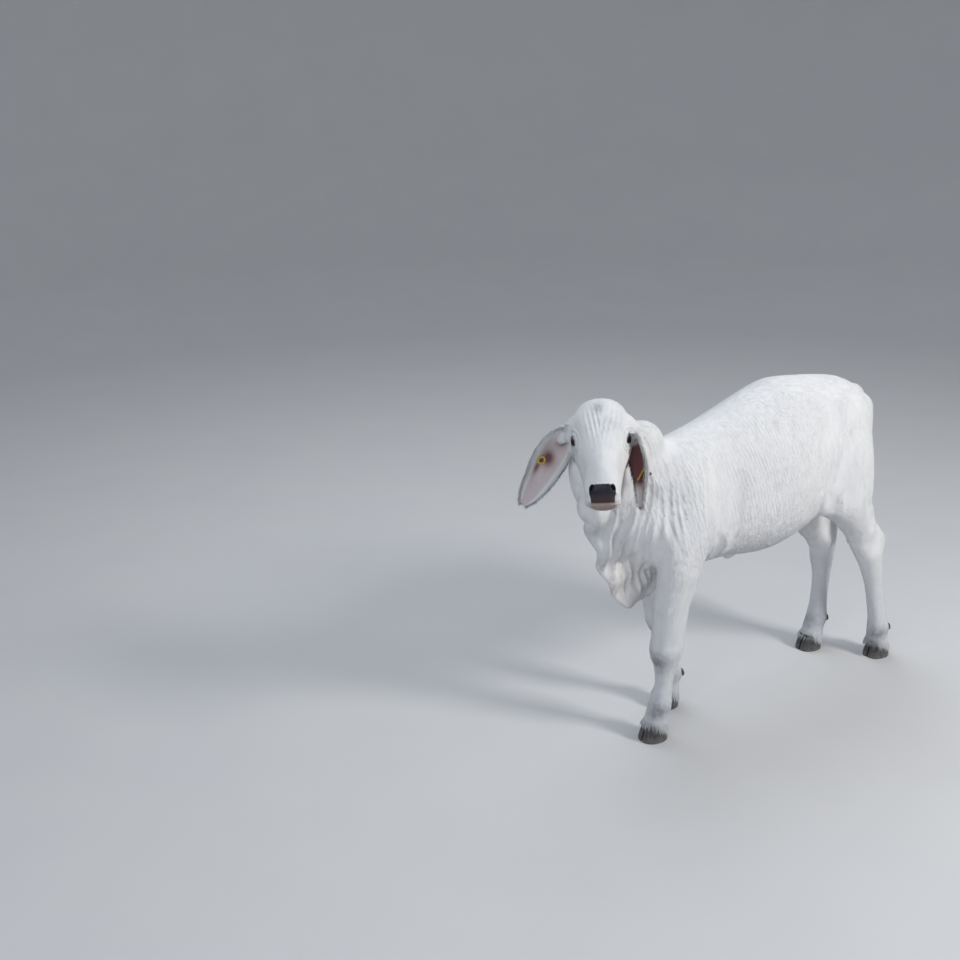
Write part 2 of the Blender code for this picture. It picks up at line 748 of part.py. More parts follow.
def plate(path, half_width, place):
    """Build a cutter one gap thick that follows a path in its own x and z, across its y."""
    bm = bmesh.new()
    points = [Vector((x, 0, z)) for x, z in path]
    widths = half_width if isinstance(half_width, tuple) else (half_width,) * len(points)
    rings = []
    for k, point in enumerate(points):
        before = points[max(k - 1, 0)]
        after = points[min(k + 1, len(points) - 1)]
        run = (after - before).normalized()
        lift = Vector((-run.z, 0, run.x)) * (GAP / 2)
        out = Vector((0, widths[k], 0))
        corners = (point + lift + out, point + lift - out, point - lift - out, point - lift + out)
        rings.append([place @ corner for corner in corners])
    loft(bm, rings)
    bmesh.ops.triangulate(bm, faces=bm.faces)
    return new_object("plate", bm)


def islands(mesh):
    """List the vertex numbers of each separate closed surface."""
    neighbours = [[] for vertex in mesh.vertices]
    for edge in mesh.edges:
        a, b = edge.vertices
        neighbours[a].append(b)
        neighbours[b].append(a)
    seen = set()
    groups = []
    for start in range(len(neighbours)):
        if start in seen:
            continue
        group = {start}
        stack = [start]
        while stack:
            for other in neighbours[stack.pop()]:
                if other not in group:
                    group.add(other)
                    stack.append(other)
        seen |= group
        groups.append(group)
    return groups


def only(mesh, group):
    """Copy one separate surface of a mesh."""
    bm = bmesh.new()
    bm.from_mesh(mesh)
    bmesh.ops.delete(bm, geom=[v for v in bm.verts if v.index not in group], context="VERTS")
    copy = bpy.data.meshes.new("piece")
    bm.to_mesh(copy)
    bm.free()
    return copy


def part_off(host, name, cutter, seed):
    """Cut a host in two and give the piece nearest the seed to a new object."""
    boolean(host, cutter, "DIFFERENCE")
    groups = sorted(islands(host.data), key=len, reverse=True)
    if len(groups) < 2:
        raise ValueError("the cut for " + name + " does not go through")
    points = mesh_points(host.data)
    groups = groups[:2]
    distances = [np.linalg.norm(points[sorted(g)] - seed, axis=1).min() for g in groups]
    taken = groups[int(np.argmin(distances))]
    left = groups[1 - int(np.argmin(distances))]
    piece = bpy.data.objects.new(name, only(host.data, taken))
    bpy.context.scene.collection.objects.link(piece)
    host.data = only(host.data, left)
    return piece


def side_view(y=0.0):
    """Place a cutter's path in the animal's own side view."""
    return Matrix.Translation((0, y, 0))


def part_trunk(pieces):
    """Part the fused skin into head, trunk lengths, hump, dewlap and the four limbs."""
    poll = Matrix.Translation(EYE_MIDDLE) @ Matrix.Rotation(math.pi + math.radians(NECK_TURN), 4, "Z")
    seed = head_matrix() @ Vector(HEAD_INSIDE)
    cutter = plate(HEAD_CUT, HEAD_CUT_HALF, poll)
    pieces["head"] = part_off(pieces["barrel"], "head", cutter, seed)
    for host, name, path, half_width, seed in TRUNK_CUTS:
        cutter = plate(path, half_width, side_view())
        pieces[name] = part_off(pieces[host], name, cutter, seed)


def part_limbs(pieces):
    """Part each limb from the trunk and at its joints."""
    for word, sign in (("left", -1), ("right", 1)):
        spine = Matrix(((0, 1, 0, 0), (sign, 0, 0, 0), (0, 0, 1, 0), (0, 0, 0, 1)))
        for host, name, leg, path, stand in (("chest", "shoulder_", "fore_", SHOULDER_CUT, SHOULDER_CUT_X),
                                             ("rump", "thigh_", "hind_", THIGH_CUT, THIGH_CUT_X)):
            x = np.interp(LIMB_INSIDE_HEIGHT, *axis_rows(STANCE[leg + word], 1))
            lower = Vector((x, sign * LIMB_INSIDE_OUT, LIMB_INSIDE_HEIGHT))
            cutter = plate(path, LIMB_CUT_HALF, Matrix.Translation((stand, 0, 0)) @ spine)
            pieces[name + word] = part_off(pieces[host], name + word, cutter, lower)
        cut_limb(pieces, "fore_" + word, "shoulder_" + word, FORE_CUTS)
        cut_limb(pieces, "hind_" + word, "thigh_" + word, HIND_CUTS)


def axis_rows(stance, column):
    """Give a limb axis as rising heights and one of its coordinates."""
    rising = stance[::-1]
    return [row[0] for row in rising], [row[column] for row in rising]


def cut_limb(pieces, leg, top, cuts):
    """Cut one limb across at each joint, from the top down."""
    stance = STANCE[leg]
    host = top
    for label, height, slope in cuts:
        x = float(np.interp(height, *axis_rows(stance, 1)))
        y = float(np.interp(height, *axis_rows(stance, 2)))
        drop = slope * JOINT_CUT_REACH
        path = ((x - JOINT_CUT_REACH, height - drop), (x + JOINT_CUT_REACH, height + drop))
        name = leg + "_" + label
        seed_height = height - JOINT_INSIDE
        seed = Vector((np.interp(seed_height, *axis_rows(stance, 1)), y, seed_height))
        cutter = plate(path, JOINT_CUT_HALF, side_view(y))
        pieces[name] = part_off(pieces[host], name, cutter, seed)
        host = name


def bvh_of(thing):
    """Index a mesh for ray casts."""
    points = [vertex.co for vertex in thing.data.vertices]
    return BVHTree.FromPolygons(points, [polygon.vertices for polygon in thing.data.polygons])


def circle(centre, run, radius, sides, flat=1.0, face=(0, 0, 1)):
    """Draw a ring of points across a direction, flattened towards a facing direction."""
    run = Vector(run).normalized()
    across = run.cross(Vector(face)).normalized()
    out = across.cross(run)
    ring = []
    for k in range(sides):
        angle = 2 * math.pi * k / sides
        ring.append(centre + across * (radius * math.cos(angle)) + out * (radius * flat * math.sin(angle)))
    return ring


def swollen(thing):
    """Copy a closed mesh a gap larger all round, as a cutter."""
    mesh = thing.data.copy()
    points = mesh_points(mesh) + vertex_normals(mesh) * (1.3 * GAP)
    mesh.vertices.foreach_set("co", points.ravel())
    mesh.update()
    copy = bpy.data.objects.new("swollen", mesh)
    bpy.context.scene.collection.objects.link(copy)
    return copy


def keep_largest(thing):
    """Leave only the largest closed surface of a mesh."""
    groups = sorted(islands(thing.data), key=len, reverse=True)
    thing.data = only(thing.data, groups[0])


def clear_of(thing, *others):
    """Cut a piece back until it stands a gap off other pieces."""
    for other in others:
        boolean(thing, swollen(other), "DIFFERENCE")
    keep_largest(thing)


def eye_frame(sign):
    """Place the axes of one eye: along the lids, across them, and out."""
    look = Vector((EYE_LOOK[0], sign * EYE_LOOK[1], EYE_LOOK[2])).normalized()
    along = Vector((1, 0, 0)) - look * look.x
    along.normalize()
    across = look.cross(along) if sign > 0 else along.cross(look)
    slant = math.radians(LID_SLANT)
    long_way = along * math.cos(slant) - across * math.sin(slant)
    short_way = across * math.cos(slant) + along * math.sin(slant)
    centre = Vector((EYE_SPOT[0], sign * EYE_SPOT[1], EYE_SPOT[2]))
    return centre, long_way, short_way, look


def lid_offsets():
    """Give the almond outline of the lids as shares along and across."""
    out = []
    for k in range(LID_POINTS):
        angle = 2 * math.pi * k / LID_POINTS
        height = math.sin(angle) * (1 - 0.3 * math.cos(angle) ** 2)
        out.append((LID_HALF_LENGTH * math.cos(angle), LID_HALF_HEIGHT * height))
    return out


def add_eyes(pieces):
    """Raise lids around each eye, hollow its socket and set the eyeball in it."""
    head = pieces["head"]
    tree = bvh_of(head)
    place = head_matrix()
    for word, sign in (("left", 1), ("right", -1)):
        centre, long_way, short_way, look = eye_frame(sign)
        centres = []
        for along, across in lid_offsets():
            start = centre + long_way * along * RIM_ALONG + short_way * across * RIM_ACROSS
            centres.append(tree.ray_cast(place @ start, place.to_3x3() @ look)[0])
        rings = []
        outward = place.to_3x3() @ look
        for k, point in enumerate(centres):
            run = centres[(k + 1) % len(centres)] - centres[k - 1]
            middle = point + outward * RIM_PROUD
            rings.append(circle(middle, run, LID_RADIUS, LID_SIDES, face=outward))
        bm = bmesh.new()
        loft(bm, rings, "round")
        boolean(head, new_object("lids", bm), "UNION")
        bm = bmesh.new()
        rings = []
        for reach, spread in LID_OPENING:
            ring = []
            for along, across in lid_offsets():
                ring.append(place @ (centre + long_way * along * spread
                                     + short_way * across * spread + look * reach))
            rings.append(ring)
        loft(bm, rings)
        boolean(head, new_object("opening", bm), "DIFFERENCE")
        turn = Matrix((long_way, short_way, look)).transposed().to_4x4()
        spot = place @ Matrix.Translation(centre) @ turn
        for name, radius in (("socket", EYE_RADIUS + GAP * 1.2), ("eye_" + word, EYE_RADIUS)):
            bm = bmesh.new()
            bmesh.ops.create_uvsphere(bm, u_segments=12, v_segments=8, radius=radius, matrix=spot)
            bmesh.ops.recalc_face_normals(bm, faces=bm.faces)
            ball = new_object(name, bm)
            if name == "socket":
                boolean(head, ball, "DIFFERENCE")
            else:
                pieces[name] = ball
    keep_largest(head)


def mouth_line(tree):
    """Find where the mouth's plane meets the skin, from corner round the front to corner."""
    place = head_matrix()
    start = Vector((MOUTH_CORNER[0], 0, MOUTH_CORNER[1]))
    forward = Vector((MOUTH_FRONT[0], 0, MOUTH_FRONT[1])) - start
    forward.normalize()
    normal = Vector((-forward.z, 0, forward.x))
    start += forward * MOUTH_START
    out = []
    for k in range(-MOUTH_RAYS, MOUTH_RAYS + 1):
        angle = math.radians(MOUTH_STEP * k)
        way = forward * math.cos(angle) + Vector((0, math.sin(angle), 0))
        hit = tree.ray_cast(place @ start, place.to_3x3() @ way)[0]
        out.append((hit, place.to_3x3() @ way))
    return out, place.to_3x3() @ normal


def nose_prism(growth):
    """Build the block that bounds the nose pad, grown or shrunk a little."""
    place = head_matrix()
    outline = list(NOSE_OUTLINE) + [(-s, u) for s, u in reversed(NOSE_OUTLINE) if s > 0]
    rings = []
    for along in (NOSE_BACK - growth, NOSE_FRONT):
        ring = []
        for s, u in outline:
            out = Vector((s, u + NOSE_MIDDLE)).normalized() * growth
            ring.append(place @ Vector((along, s + out.x, u + out.y)))
        rings.append(ring)
    bm = bmesh.new()
    loft(bm, rings)
    bmesh.ops.triangulate(bm, faces=bm.faces)
    return new_object("prism", bm)


def add_mouth(pieces):
    """Raise the lips, part the lower jaw and the nose, open the nostrils and groove the mouth."""
    head = pieces["head"]
    line, normal = mouth_line(bvh_of(head))
    place = head_matrix()
    for lift in (1, -1):
        rings = []
        for k, (point, way) in enumerate(line):
            run = line[min(k + 1, len(line) - 1)][0] - line[max(k - 1, 0)][0]
            taper = 1 - LIP_TAPER * (1 - math.sin(math.pi * (k + 0.5) / len(line)))
            middle = point + normal * (lift * LIP_RADIUS * LIP_OFF) - way * (LIP_RADIUS * LIP_SUNK)
            rings.append(circle(middle, run, LIP_RADIUS * taper, LIP_SIDES, face=normal))
        bm = bmesh.new()
        loft(bm, rings)
        boolean(head, new_object("lip", bm), "UNION")
    for sign in (1, -1):
        turn = Matrix.Rotation(math.radians(sign * NOSTRIL_TURN), 4, "Z")
        turn @= Matrix.Rotation(math.radians(NOSTRIL_PITCH), 4, "Y")
        spot = Matrix.Translation((NOSTRIL[0], sign * NOSTRIL[1], NOSTRIL[2]))
        bm = bmesh.new()
        shape = place @ spot @ turn @ Matrix.Diagonal((*NOSTRIL_RADII, 1))
        bmesh.ops.create_uvsphere(bm, u_segments=12, v_segments=8, radius=1, matrix=shape)
        boolean(head, new_object("nostril", bm), "DIFFERENCE")
    keep_largest(head)
    path = (JAW_CUT_BACK, MOUTH_CORNER, MOUTH_FRONT)
    chin = place @ Vector(JAW_INSIDE)
    pieces["lower_jaw"] = part_off(head, "lower_jaw", plate(path, JAW_CUT_HALF, place), chin)
    pad = bpy.data.objects.new("nose_pad", head.data.copy())
    bpy.context.scene.collection.objects.link(pad)
    boolean(pad, nose_prism(-GAP / 2), "INTERSECT")
    boolean(head, nose_prism(GAP / 2), "DIFFERENCE")
    pieces["nose_pad"] = pad
    for name in ("head", "lower_jaw", "nose_pad"):
        rings = []
        for point, way in line:
            out = point + way * MOUTH_OUT
            flare = normal * MOUTH_FLARE
            rings.append((point - way * MOUTH_DEPTH, out + flare, out - flare))
        bm = bmesh.new()
        loft(bm, rings)
        boolean(pieces[name], new_object("groove", bm), "DIFFERENCE")
        keep_largest(pieces[name])


def ear_sections(name):
    """Give the frames along an ear: centre, across, opening, half width and curl."""
    place = head_matrix()
    opening = place.to_3x3() @ Vector(EAR_OPENING[name])
    centres = [place @ Vector(row) for row in smooth_rows(EARS[name], ROW_STEPS)]
    out = []
    for k, centre in enumerate(centres):
        share = k / (len(centres) - 1)
        run = centres[min(k + 1, len(centres) - 1)] - centres[max(k - 1, 0)]
        run.normalize()
        face = (opening - run * opening.dot(run)).normalized()
        across = run.cross(face)
        steps = np.linspace(0, 1, len(EAR_OUTLINE[name]))
        half = float(np.interp(share, steps, EAR_OUTLINE[name]))
        curl = math.radians(float(np.interp(share, steps, EAR_CURL[name])))
        out.append((centre, across, face, half, curl))
    return out


def ear_point(section, share, depth):
    """Read a point of the cup at a share across it and a depth behind its inner face."""
    centre, across, face, half, curl = section
    radius = half / curl
    angle = share * curl
    reach = radius + depth
    return centre + across * (reach * math.sin(angle)) + face * (radius - reach * math.cos(angle))


def add_ears(pieces):
    """Loft each ear as a closed cupped leaf and stand it a gap off the head."""
    for name in EARS:
        rings = []
        for section in ear_sections(name):
            shares = [-1 + 2 * k / (EAR_ACROSS - 1) for k in range(EAR_ACROSS)]
            inner = [ear_point(section, share, 0) for share in shares]
            outer = [ear_point(section, share, EAR_THICKNESS) for share in reversed(shares)]
            rings.append(inner + outer)
        bm = bmesh.new()
        loft(bm, rings, "folded")
        bmesh.ops.triangulate(bm, faces=bm.faces)
        pieces[name] = new_object(name, bm)
        clear_of(pieces[name], pieces["head"], pieces["neck"])


def disc(spot, face, reaches, radius):
    """Build a flat round disc between two reaches along its facing direction."""
    run = face.orthogonal()
    rings = [circle(spot + face * reach, face, radius, DISC_SIDES, face=run) for reach in reaches]
    bm = bmesh.new()
    loft(bm, rings)
    return new_object("disc", bm)


def add_tags(pieces):
    """Put a blank button tag in the right ear and a blank plate tag in the left one."""
    section = ear_sections("ear_right")[BUTTON_SECTION]
    spot = ear_point(section, BUTTON_SHARE, 0)
    back = ear_point(section, BUTTON_SHARE, EAR_THICKNESS)
    face = (spot - back).normalized()
    pieces["tag_right_button"] = disc(spot, face, BUTTON_REACH, BUTTON_RADIUS)
    pieces["tag_right_stud"] = disc(back, face, BUTTON_STUD_REACH, BUTTON_STUD_RADIUS)
    section = ear_sections("ear_left")[PLATE_SECTION]
    spot = ear_point(section, 0, 0)
    face = section[2]
    place = head_matrix().to_3x3()
    long_way = place @ Vector(PLATE_LONG)
    thin_way = place @ Vector(PLATE_FACE)
    thin_way -= long_way * thin_way.dot(long_way) / long_way.length_squared
    turn = Matrix((long_way, long_way.cross(thin_way), thin_way)).transposed()
    for column in range(3):
        turn.col[column].normalize()
    bm = bmesh.new()
    shape = Matrix.Translation(spot + face * PLATE_LIFT) @ turn.to_4x4()
    bmesh.ops.create_cube(bm, size=2, matrix=shape @ Matrix.Diagonal((*PLATE_HALF, 1)))
    pieces["tag_left_plate"] = new_object("plate", bm)
    back = ear_point(section, 0, EAR_THICKNESS)
    pieces["tag_left_stud"] = disc(back, face, PLATE_STUD_REACH, PLATE_STUD_RADIUS)
    for name, ear in (("tag_right_button", "ear_right"), ("tag_right_stud", "ear_right"),
                      ("tag_left_plate", "ear_left"), ("tag_left_stud", "ear_left")):
        clear_of(pieces[name], pieces[ear], pieces["neck"], pieces["head"])


def coronet(foot, x):
    """Give the height of the line where hair ends and horn begins, which falls to the rear."""
    return CORONET_HEIGHT + CORONET_SLOPE * (foot.x - x)


def claw_ring(foot, level, scale, side):
    """Draw one D shaped ring of a claw: flat towards the cleft and round outside."""
    ring = []
    shift = (1 - scale) * CLAW_LEAN
    for k in range(CLAW_POINTS):
        angle = math.pi * (k / (CLAW_POINTS - 1) - 0.5)
        reach = CLAW_FRONT if angle > 0 else CLAW_REAR
        x = foot.x + shift - reach * scale * math.sin(angle)
        width = CLAW_WIDTH * scale * abs(math.cos(angle)) ** CLAW_FULLNESS
        height = max((coronet(foot, x) - 1.2 * GAP) * level, 0.0)
        ring.append(Vector((x, foot.y + side * (CLEFT / 2 + width), height)))
    return ring


def add_feet(pieces):
    """Trim each pastern at the coronet and stand it on two hooves, with dewclaws behind."""
    for leg, stance in STANCE.items():
        pastern = pieces[leg + "_pastern"]
        foot = Vector((stance[-1][1], stance[-1][2], 0))
        ankle = Vector((np.interp(DEWCLAW_HEIGHT, *axis_rows(stance, 1)),
                        np.interp(DEWCLAW_HEIGHT, *axis_rows(stance, 2)), DEWCLAW_HEIGHT))
        path = []
        for x in (foot.x - SOLE_CUT_REACH, foot.x + SOLE_CUT_REACH):
            path.append((x, coronet(foot, x)))
        seed = Vector((foot.x, foot.y, SOLE_INSIDE))
        sole = part_off(pastern, "sole", plate(path, SOLE_CUT_HALF, side_view(foot.y)), seed)
        bpy.data.objects.remove(sole, do_unlink=True)
        for label, side in (("left", -1), ("right", 1)):
            rings = []
            for level, scale in CLAW_LEVELS:
                rings.append(claw_ring(foot, level, scale, side))
            bm = bmesh.new()
            loft(bm, rings)
            bmesh.ops.triangulate(bm, faces=bm.faces)
            pieces[leg + "_claw_" + label] = new_object(leg + "_claw_" + label, bm)
            spot = ankle + Vector((DEWCLAW_BACK, side * DEWCLAW_OUT, 0))
            way = Vector((DEWCLAW_WAY[0], side * DEWCLAW_WAY[1], DEWCLAW_WAY[2])).normalized()
            turn = way.to_track_quat("Z", "Y").to_matrix().to_4x4()
            bm = bmesh.new()
            bmesh.ops.create_cone(bm, cap_ends=True, segments=DEWCLAW_SIDES, radius1=DEWCLAW_RADIUS,
                                  radius2=DEWCLAW_RADIUS * DEWCLAW_TAPER, depth=DEWCLAW_LENGTH,
                                  matrix=Matrix.Translation(spot) @ turn)
            name = leg + "_dewclaw_" + label
            pieces[name] = new_object(name, bm)
            clear_of(pieces[name], pastern)


def lock_rings(number):
    """Give the rings of one flat tapered lock of the switch, curving down its lie."""
    turn = LOCK_TURN * number
    row = number % LOCK_ROWS
    root_z = LOCK_ROOT[2] - LOCK_ROW_STEP * row
    tip_z = LOCK_TIP + LOCK_TIP_STEP * ((number * 5) % LOCK_TIP_STEPS)
    out_way = Vector((math.cos(turn), math.sin(turn), 0))
    swing = Vector((math.cos(turn + LOCK_SWING_TURN), math.sin(turn + LOCK_SWING_TURN), 0))
    rings = []
    for k in range(LOCK_RINGS):
        share = k / (LOCK_RINGS - 1)
        fullness = math.sin(math.pi * min(share * 0.95 + 0.02, 1)) * (1 - 0.15 * row)
        centre = Vector((LOCK_ROOT[0], LOCK_ROOT[1], root_z + (tip_z - root_z) * share))
        centre += out_way * (LOCK_OFFSET + LOCK_BULGE * fullness) + swing * (LOCK_SWING * share ** 2)
        width = LOCK_WIDTH * (1 - share) ** 0.6 + LOCK_TIP_WIDTH
        rings.append(circle(centre, (0, 0, -1), width, LOCK_SIDES, LOCK_FLATNESS, face=out_way))
    return rings


def add_tail(pieces):
    """Loft the tail, stand it a gap off the rump and hang the switch of locks on its end."""
    rings = []
    rows = smooth_rows(TAIL, TAIL_STEPS)
    for k, (x, z, radius) in enumerate(rows):
        after = rows[min(k + 1, len(rows) - 1)]
        before = rows[max(k - 1, 0)]
        run = Vector((after[0] - before[0], 0, after[1] - before[1]))
        rings.append(circle(Vector((x, 0, z)), run, radius, TAIL_SIDES, face=(0, 1, 0)))
    bm = bmesh.new()
    loft(bm, rings)
    bmesh.ops.triangulate(bm, faces=bm.faces)
    tail = new_object("tail", bm)
    path = [(x, TAIL_SPLIT) for x in TAIL_CUT_ENDS]
    cutter = plate(path, TAIL_CUT_HALF, side_view())
    core = part_off(tail, "tail_switch", cutter, Vector(SWITCH_INSIDE))
    clear_of(tail, pieces["rump"])
    locks = bpy.data.collections.new("locks")
    bpy.context.scene.collection.children.link(locks)
    for number in range(LOCKS):
        bm = bmesh.new()
        loft(bm, lock_rings(number))
        bmesh.ops.triangulate(bm, faces=bm.faces)
        lock = new_object("lock", bm)
        bpy.context.scene.collection.objects.unlink(lock)
        locks.objects.link(lock)
    step = core.modifiers.new("gather", "BOOLEAN")
    step.operation = "UNION"
    step.solver = "EXACT"
    step.operand_type = "COLLECTION"
    step.collection = locks
    apply_modifiers(core)
    keep_largest(core)
    for lock in list(locks.objects):
        bpy.data.objects.remove(lock, do_unlink=True)
    bpy.data.collections.remove(locks)
    pieces["tail"] = tail
    pieces["tail_switch"] = core


def look_of(name):
    """Choose a piece's material from its name."""
    for words, look in LOOKS:
        if any(word in name for word in words):
            return look
    return COAT


def finish(pieces):
    """Name, paint and triangulate every piece and set the origin under the middle."""
    points = np.vstack([mesh_points(piece.data) for piece in pieces.values()])
    low, high = points.min(0), points.max(0)
    shift = Vector((-(low[0] + high[0]) / 2, -(low[1] + high[1]) / 2, 0))
    print("Moved by", [round(n, 6) for n in shift])
    for name, piece in pieces.items():
        bm = bmesh.new()
        bm.from_mesh(piece.data)
        bmesh.ops.remove_doubles(bm, verts=bm.verts, dist=0.00005)
        bmesh.ops.dissolve_degenerate(bm, edges=bm.edges, dist=0.00002)
        bmesh.ops.triangulate(bm, faces=bm.faces)
        bmesh.ops.translate(bm, verts=bm.verts, vec=shift)
        bm.to_mesh(piece.data)
        bm.free()
        piece.name = name
        piece.data.name = name
        colour, roughness, metallic = look_of(name)
        skin = bpy.data.materials.new(name)
        skin.use_nodes = True
        shader = skin.node_tree.nodes["Principled BSDF"]
        shader.inputs["Base Color"].default_value = (*colour, 1)
        shader.inputs["Roughness"].default_value = roughness
        shader.inputs["Metallic"].default_value = metallic
        skin.diffuse_color = (*colour, 1)
        piece.data.materials.clear()
        piece.data.materials.append(skin)


def main():
    clear_scene()
    flesh = fused_flesh()
    relax(flesh.data, FLESH_PASSES)
    blend_places(flesh.data)
    raise_forms(flesh.data)
    relax(flesh.data, FORM_PASSES)
    thin_out(flesh)
    pieces = {"barrel": flesh}
    part_trunk(pieces)
    part_limbs(pieces)
    add_eyes(pieces)
    add_mouth(pieces)
    add_ears(pieces)
    add_tags(pieces)
    add_feet(pieces)
    add_tail(pieces)
    finish(pieces)
    faces = sum(len(piece.data.polygons) for piece in pieces.values())
    print(len(pieces), "pieces with", faces, "triangles")


main()
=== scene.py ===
# %% [markdown]
# # A young Brahman calf, life size
#
# The real animal is a white calf of about three months. Short white hair lies over loose grey hide,
# which hangs in folds on the neck and in pleats on the dewlap. The eyes, nose, hooves and tail switch
# are dark, and each drooping ear wears a blank tag.
#
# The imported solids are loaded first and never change. The hide is rebuilt, only finer, from the same
# named values, so that it lies just inside the solids, and the coat is laid over it.

import math

import bmesh
import bpy
import mathutils
import numpy as np
from mathutils import Matrix, Vector
from mathutils.bvhtree import BVHTree


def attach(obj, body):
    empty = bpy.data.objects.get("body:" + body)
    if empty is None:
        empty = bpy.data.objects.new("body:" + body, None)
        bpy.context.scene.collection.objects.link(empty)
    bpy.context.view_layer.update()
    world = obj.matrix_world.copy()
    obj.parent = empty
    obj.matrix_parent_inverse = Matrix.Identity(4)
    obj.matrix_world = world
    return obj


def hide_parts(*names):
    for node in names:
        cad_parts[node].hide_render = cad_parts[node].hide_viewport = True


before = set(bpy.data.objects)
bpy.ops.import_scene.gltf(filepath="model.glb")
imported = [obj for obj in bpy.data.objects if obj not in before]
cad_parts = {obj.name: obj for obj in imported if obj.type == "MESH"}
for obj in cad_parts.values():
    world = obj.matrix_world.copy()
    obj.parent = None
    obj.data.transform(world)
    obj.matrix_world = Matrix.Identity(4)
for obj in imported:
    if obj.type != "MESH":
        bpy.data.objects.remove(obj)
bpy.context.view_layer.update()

# %% [markdown]
# ## Camera
#
# The photograph was taken from standing height, looking down at the calf a little. The place and the
# lens were worked out from the four feet, which stand on level ground. A camera is an object like any
# other in Blender, so it gets a place and three turns.

# %% Camera at the photograph's angle
CAMERA_SPOT = (-2.21885, -2.09641, 1.640)
CAMERA_TILT = 18.7
CAMERA_TURN = 34.3
SENSOR = 36.0
FOCAL_PIXELS = 1230
IMAGE_PIXELS = 960
LENS = SENSOR * FOCAL_PIXELS / IMAGE_PIXELS

lens = bpy.data.cameras.new("camera")
lens.sensor_width = SENSOR
lens.lens = LENS
camera = bpy.data.objects.new("camera", lens)
camera.location = CAMERA_SPOT
camera.rotation_euler = (math.radians(90 - CAMERA_TILT), 0, math.radians(-CAMERA_TURN))
bpy.context.scene.collection.objects.link(camera)
bpy.context.scene.camera = camera
print("Camera at", CAMERA_SPOT, "with a lens of", round(LENS, 1), "mm")

# %% [markdown]
# ## Studio
#
# A white animal needs soft light from more than one side, or its folds vanish. A large light above
# and to the right of the camera models the folds, a weaker one fills the left, and a pale world
# softens both. The floor is a wide dish whose rim rises far behind, so no horizon line shows.

# %% Floor and lights
FLOOR_RADII = (0.0, 2.0, 5.0, 6.5, 7.5, 8.2, 8.5)
FLOOR_HEIGHTS = (0.0, 0.0, 0.0, 0.25, 0.95, 2.2, 4.2)
FLOOR_SIDES = 96
# Lights: name, place, what it is aimed at, size, power, colour.
LIGHTS = (
    ("key", (1.3, -2.7, 2.6), (-0.05, 0.0, 0.5), 0.8, 84, (1.0, 0.985, 0.96)),
    ("fill", (-3.2, -1.6, 1.9), (-0.3, 0.0, 0.5), 2.2, 30, (0.88, 0.94, 1.0)),
    ("top", (0.2, 1.5, 3.4), (0.0, 0.0, 0.7), 2.2, 44, (0.90, 0.96, 1.0)),
)
SKY_COLOUR = (0.86, 0.91, 1.0)
SKY_STRENGTH = 0.42

bm = bmesh.new()
for radius, height in zip(FLOOR_RADII[1:], FLOOR_HEIGHTS[1:]):
    for k in range(FLOOR_SIDES):
        angle = 2 * math.pi * k / FLOOR_SIDES
        bm.verts.new((radius * math.cos(angle), radius * math.sin(angle), height))
bm.verts.ensure_lookup_table()
bm.faces.new([bm.verts[k] for k in range(FLOOR_SIDES)])
for row in range(len(FLOOR_RADII) - 2):
    for k in range(FLOOR_SIDES):
        after = (k + 1) % FLOOR_SIDES
        near, far = row * FLOOR_SIDES, (row + 1) * FLOOR_SIDES
        bm.faces.new([bm.verts[n] for n in (near + k, far + k, far + after, near + after)])
mesh = bpy.data.meshes.new("studio_floor")
bm.to_mesh(mesh)
bm.free()
mesh.shade_smooth()
studio_floor = bpy.data.objects.new("studio_floor", mesh)
bpy.context.scene.collection.objects.link(studio_floor)


def soft_light(name, spot, aim, size, power, colour):
    """Hang one square area light and aim it at a point."""
    light = bpy.data.lights.new(name, "AREA")
    light.size = size
    light.energy = power
    light.color = colour
    lamp = bpy.data.objects.new(name, light)
    lamp.location = spot
    lamp.rotation_euler = (Vector(aim) - Vector(spot)).to_track_quat("-Z", "Y").to_euler()
    bpy.context.scene.collection.objects.link(lamp)


for light in LIGHTS:
    soft_light(*light)
world = bpy.data.worlds.new("studio")
world.use_nodes = True
world.node_tree.nodes["Background"].inputs["Color"].default_value = (*SKY_COLOUR, 1)
world.node_tree.nodes["Background"].inputs["Strength"].default_value = SKY_STRENGTH
bpy.context.scene.world = world
bpy.context.scene.view_settings.view_transform = "Standard"
print("Studio: floor,", len(LIGHTS), "lights and a pale world")

# %% [markdown]
# ## Materials
#
# Blender's Principled shader takes a colour, a roughness and a bump. None of them is one flat value
# here: small node groups mix colours by noise and by masks. A mask is a number stored at each point
# of a mesh, such as how pink the inside of an ear is, so that hide and hair share the same markings.

# %% Small helpers for node trees
def new_material(name):
    """Start a material and give its node tree and shader."""
    material = bpy.data.materials.new(name)
    material.use_nodes = True
    tree = material.node_tree
    return material, tree, tree.nodes["Principled BSDF"]


def node(tree, kind, values=(), **settings):
    """Add one node, set its options, and fill or link its inputs by name or number."""
    made = tree.nodes.new(kind)
    for key, value in settings.items():
        setattr(made, key, value)
    for key, value in dict(values).items():
        if hasattr(value, "links"):
            tree.links.new(value, made.inputs[key])
        else:
            made.inputs[key].default_value = value
    return made


def mixed(tree, share, here, there, blend="MIX"):
    """Mix two colours by a share and give the result."""
    made = tree.nodes.new("ShaderNodeMix")
    made.data_type = "RGBA"
    made.blend_type = blend
    for number, value in ((0, share), (6, here), (7, there)):
        if hasattr(value, "links"):
            tree.links.new(value, made.inputs[number])
        elif number == 0:
            made.inputs[number].default_value = value
        else:
            made.inputs[number].default_value = (*value, 1)
    return made.outputs[2]


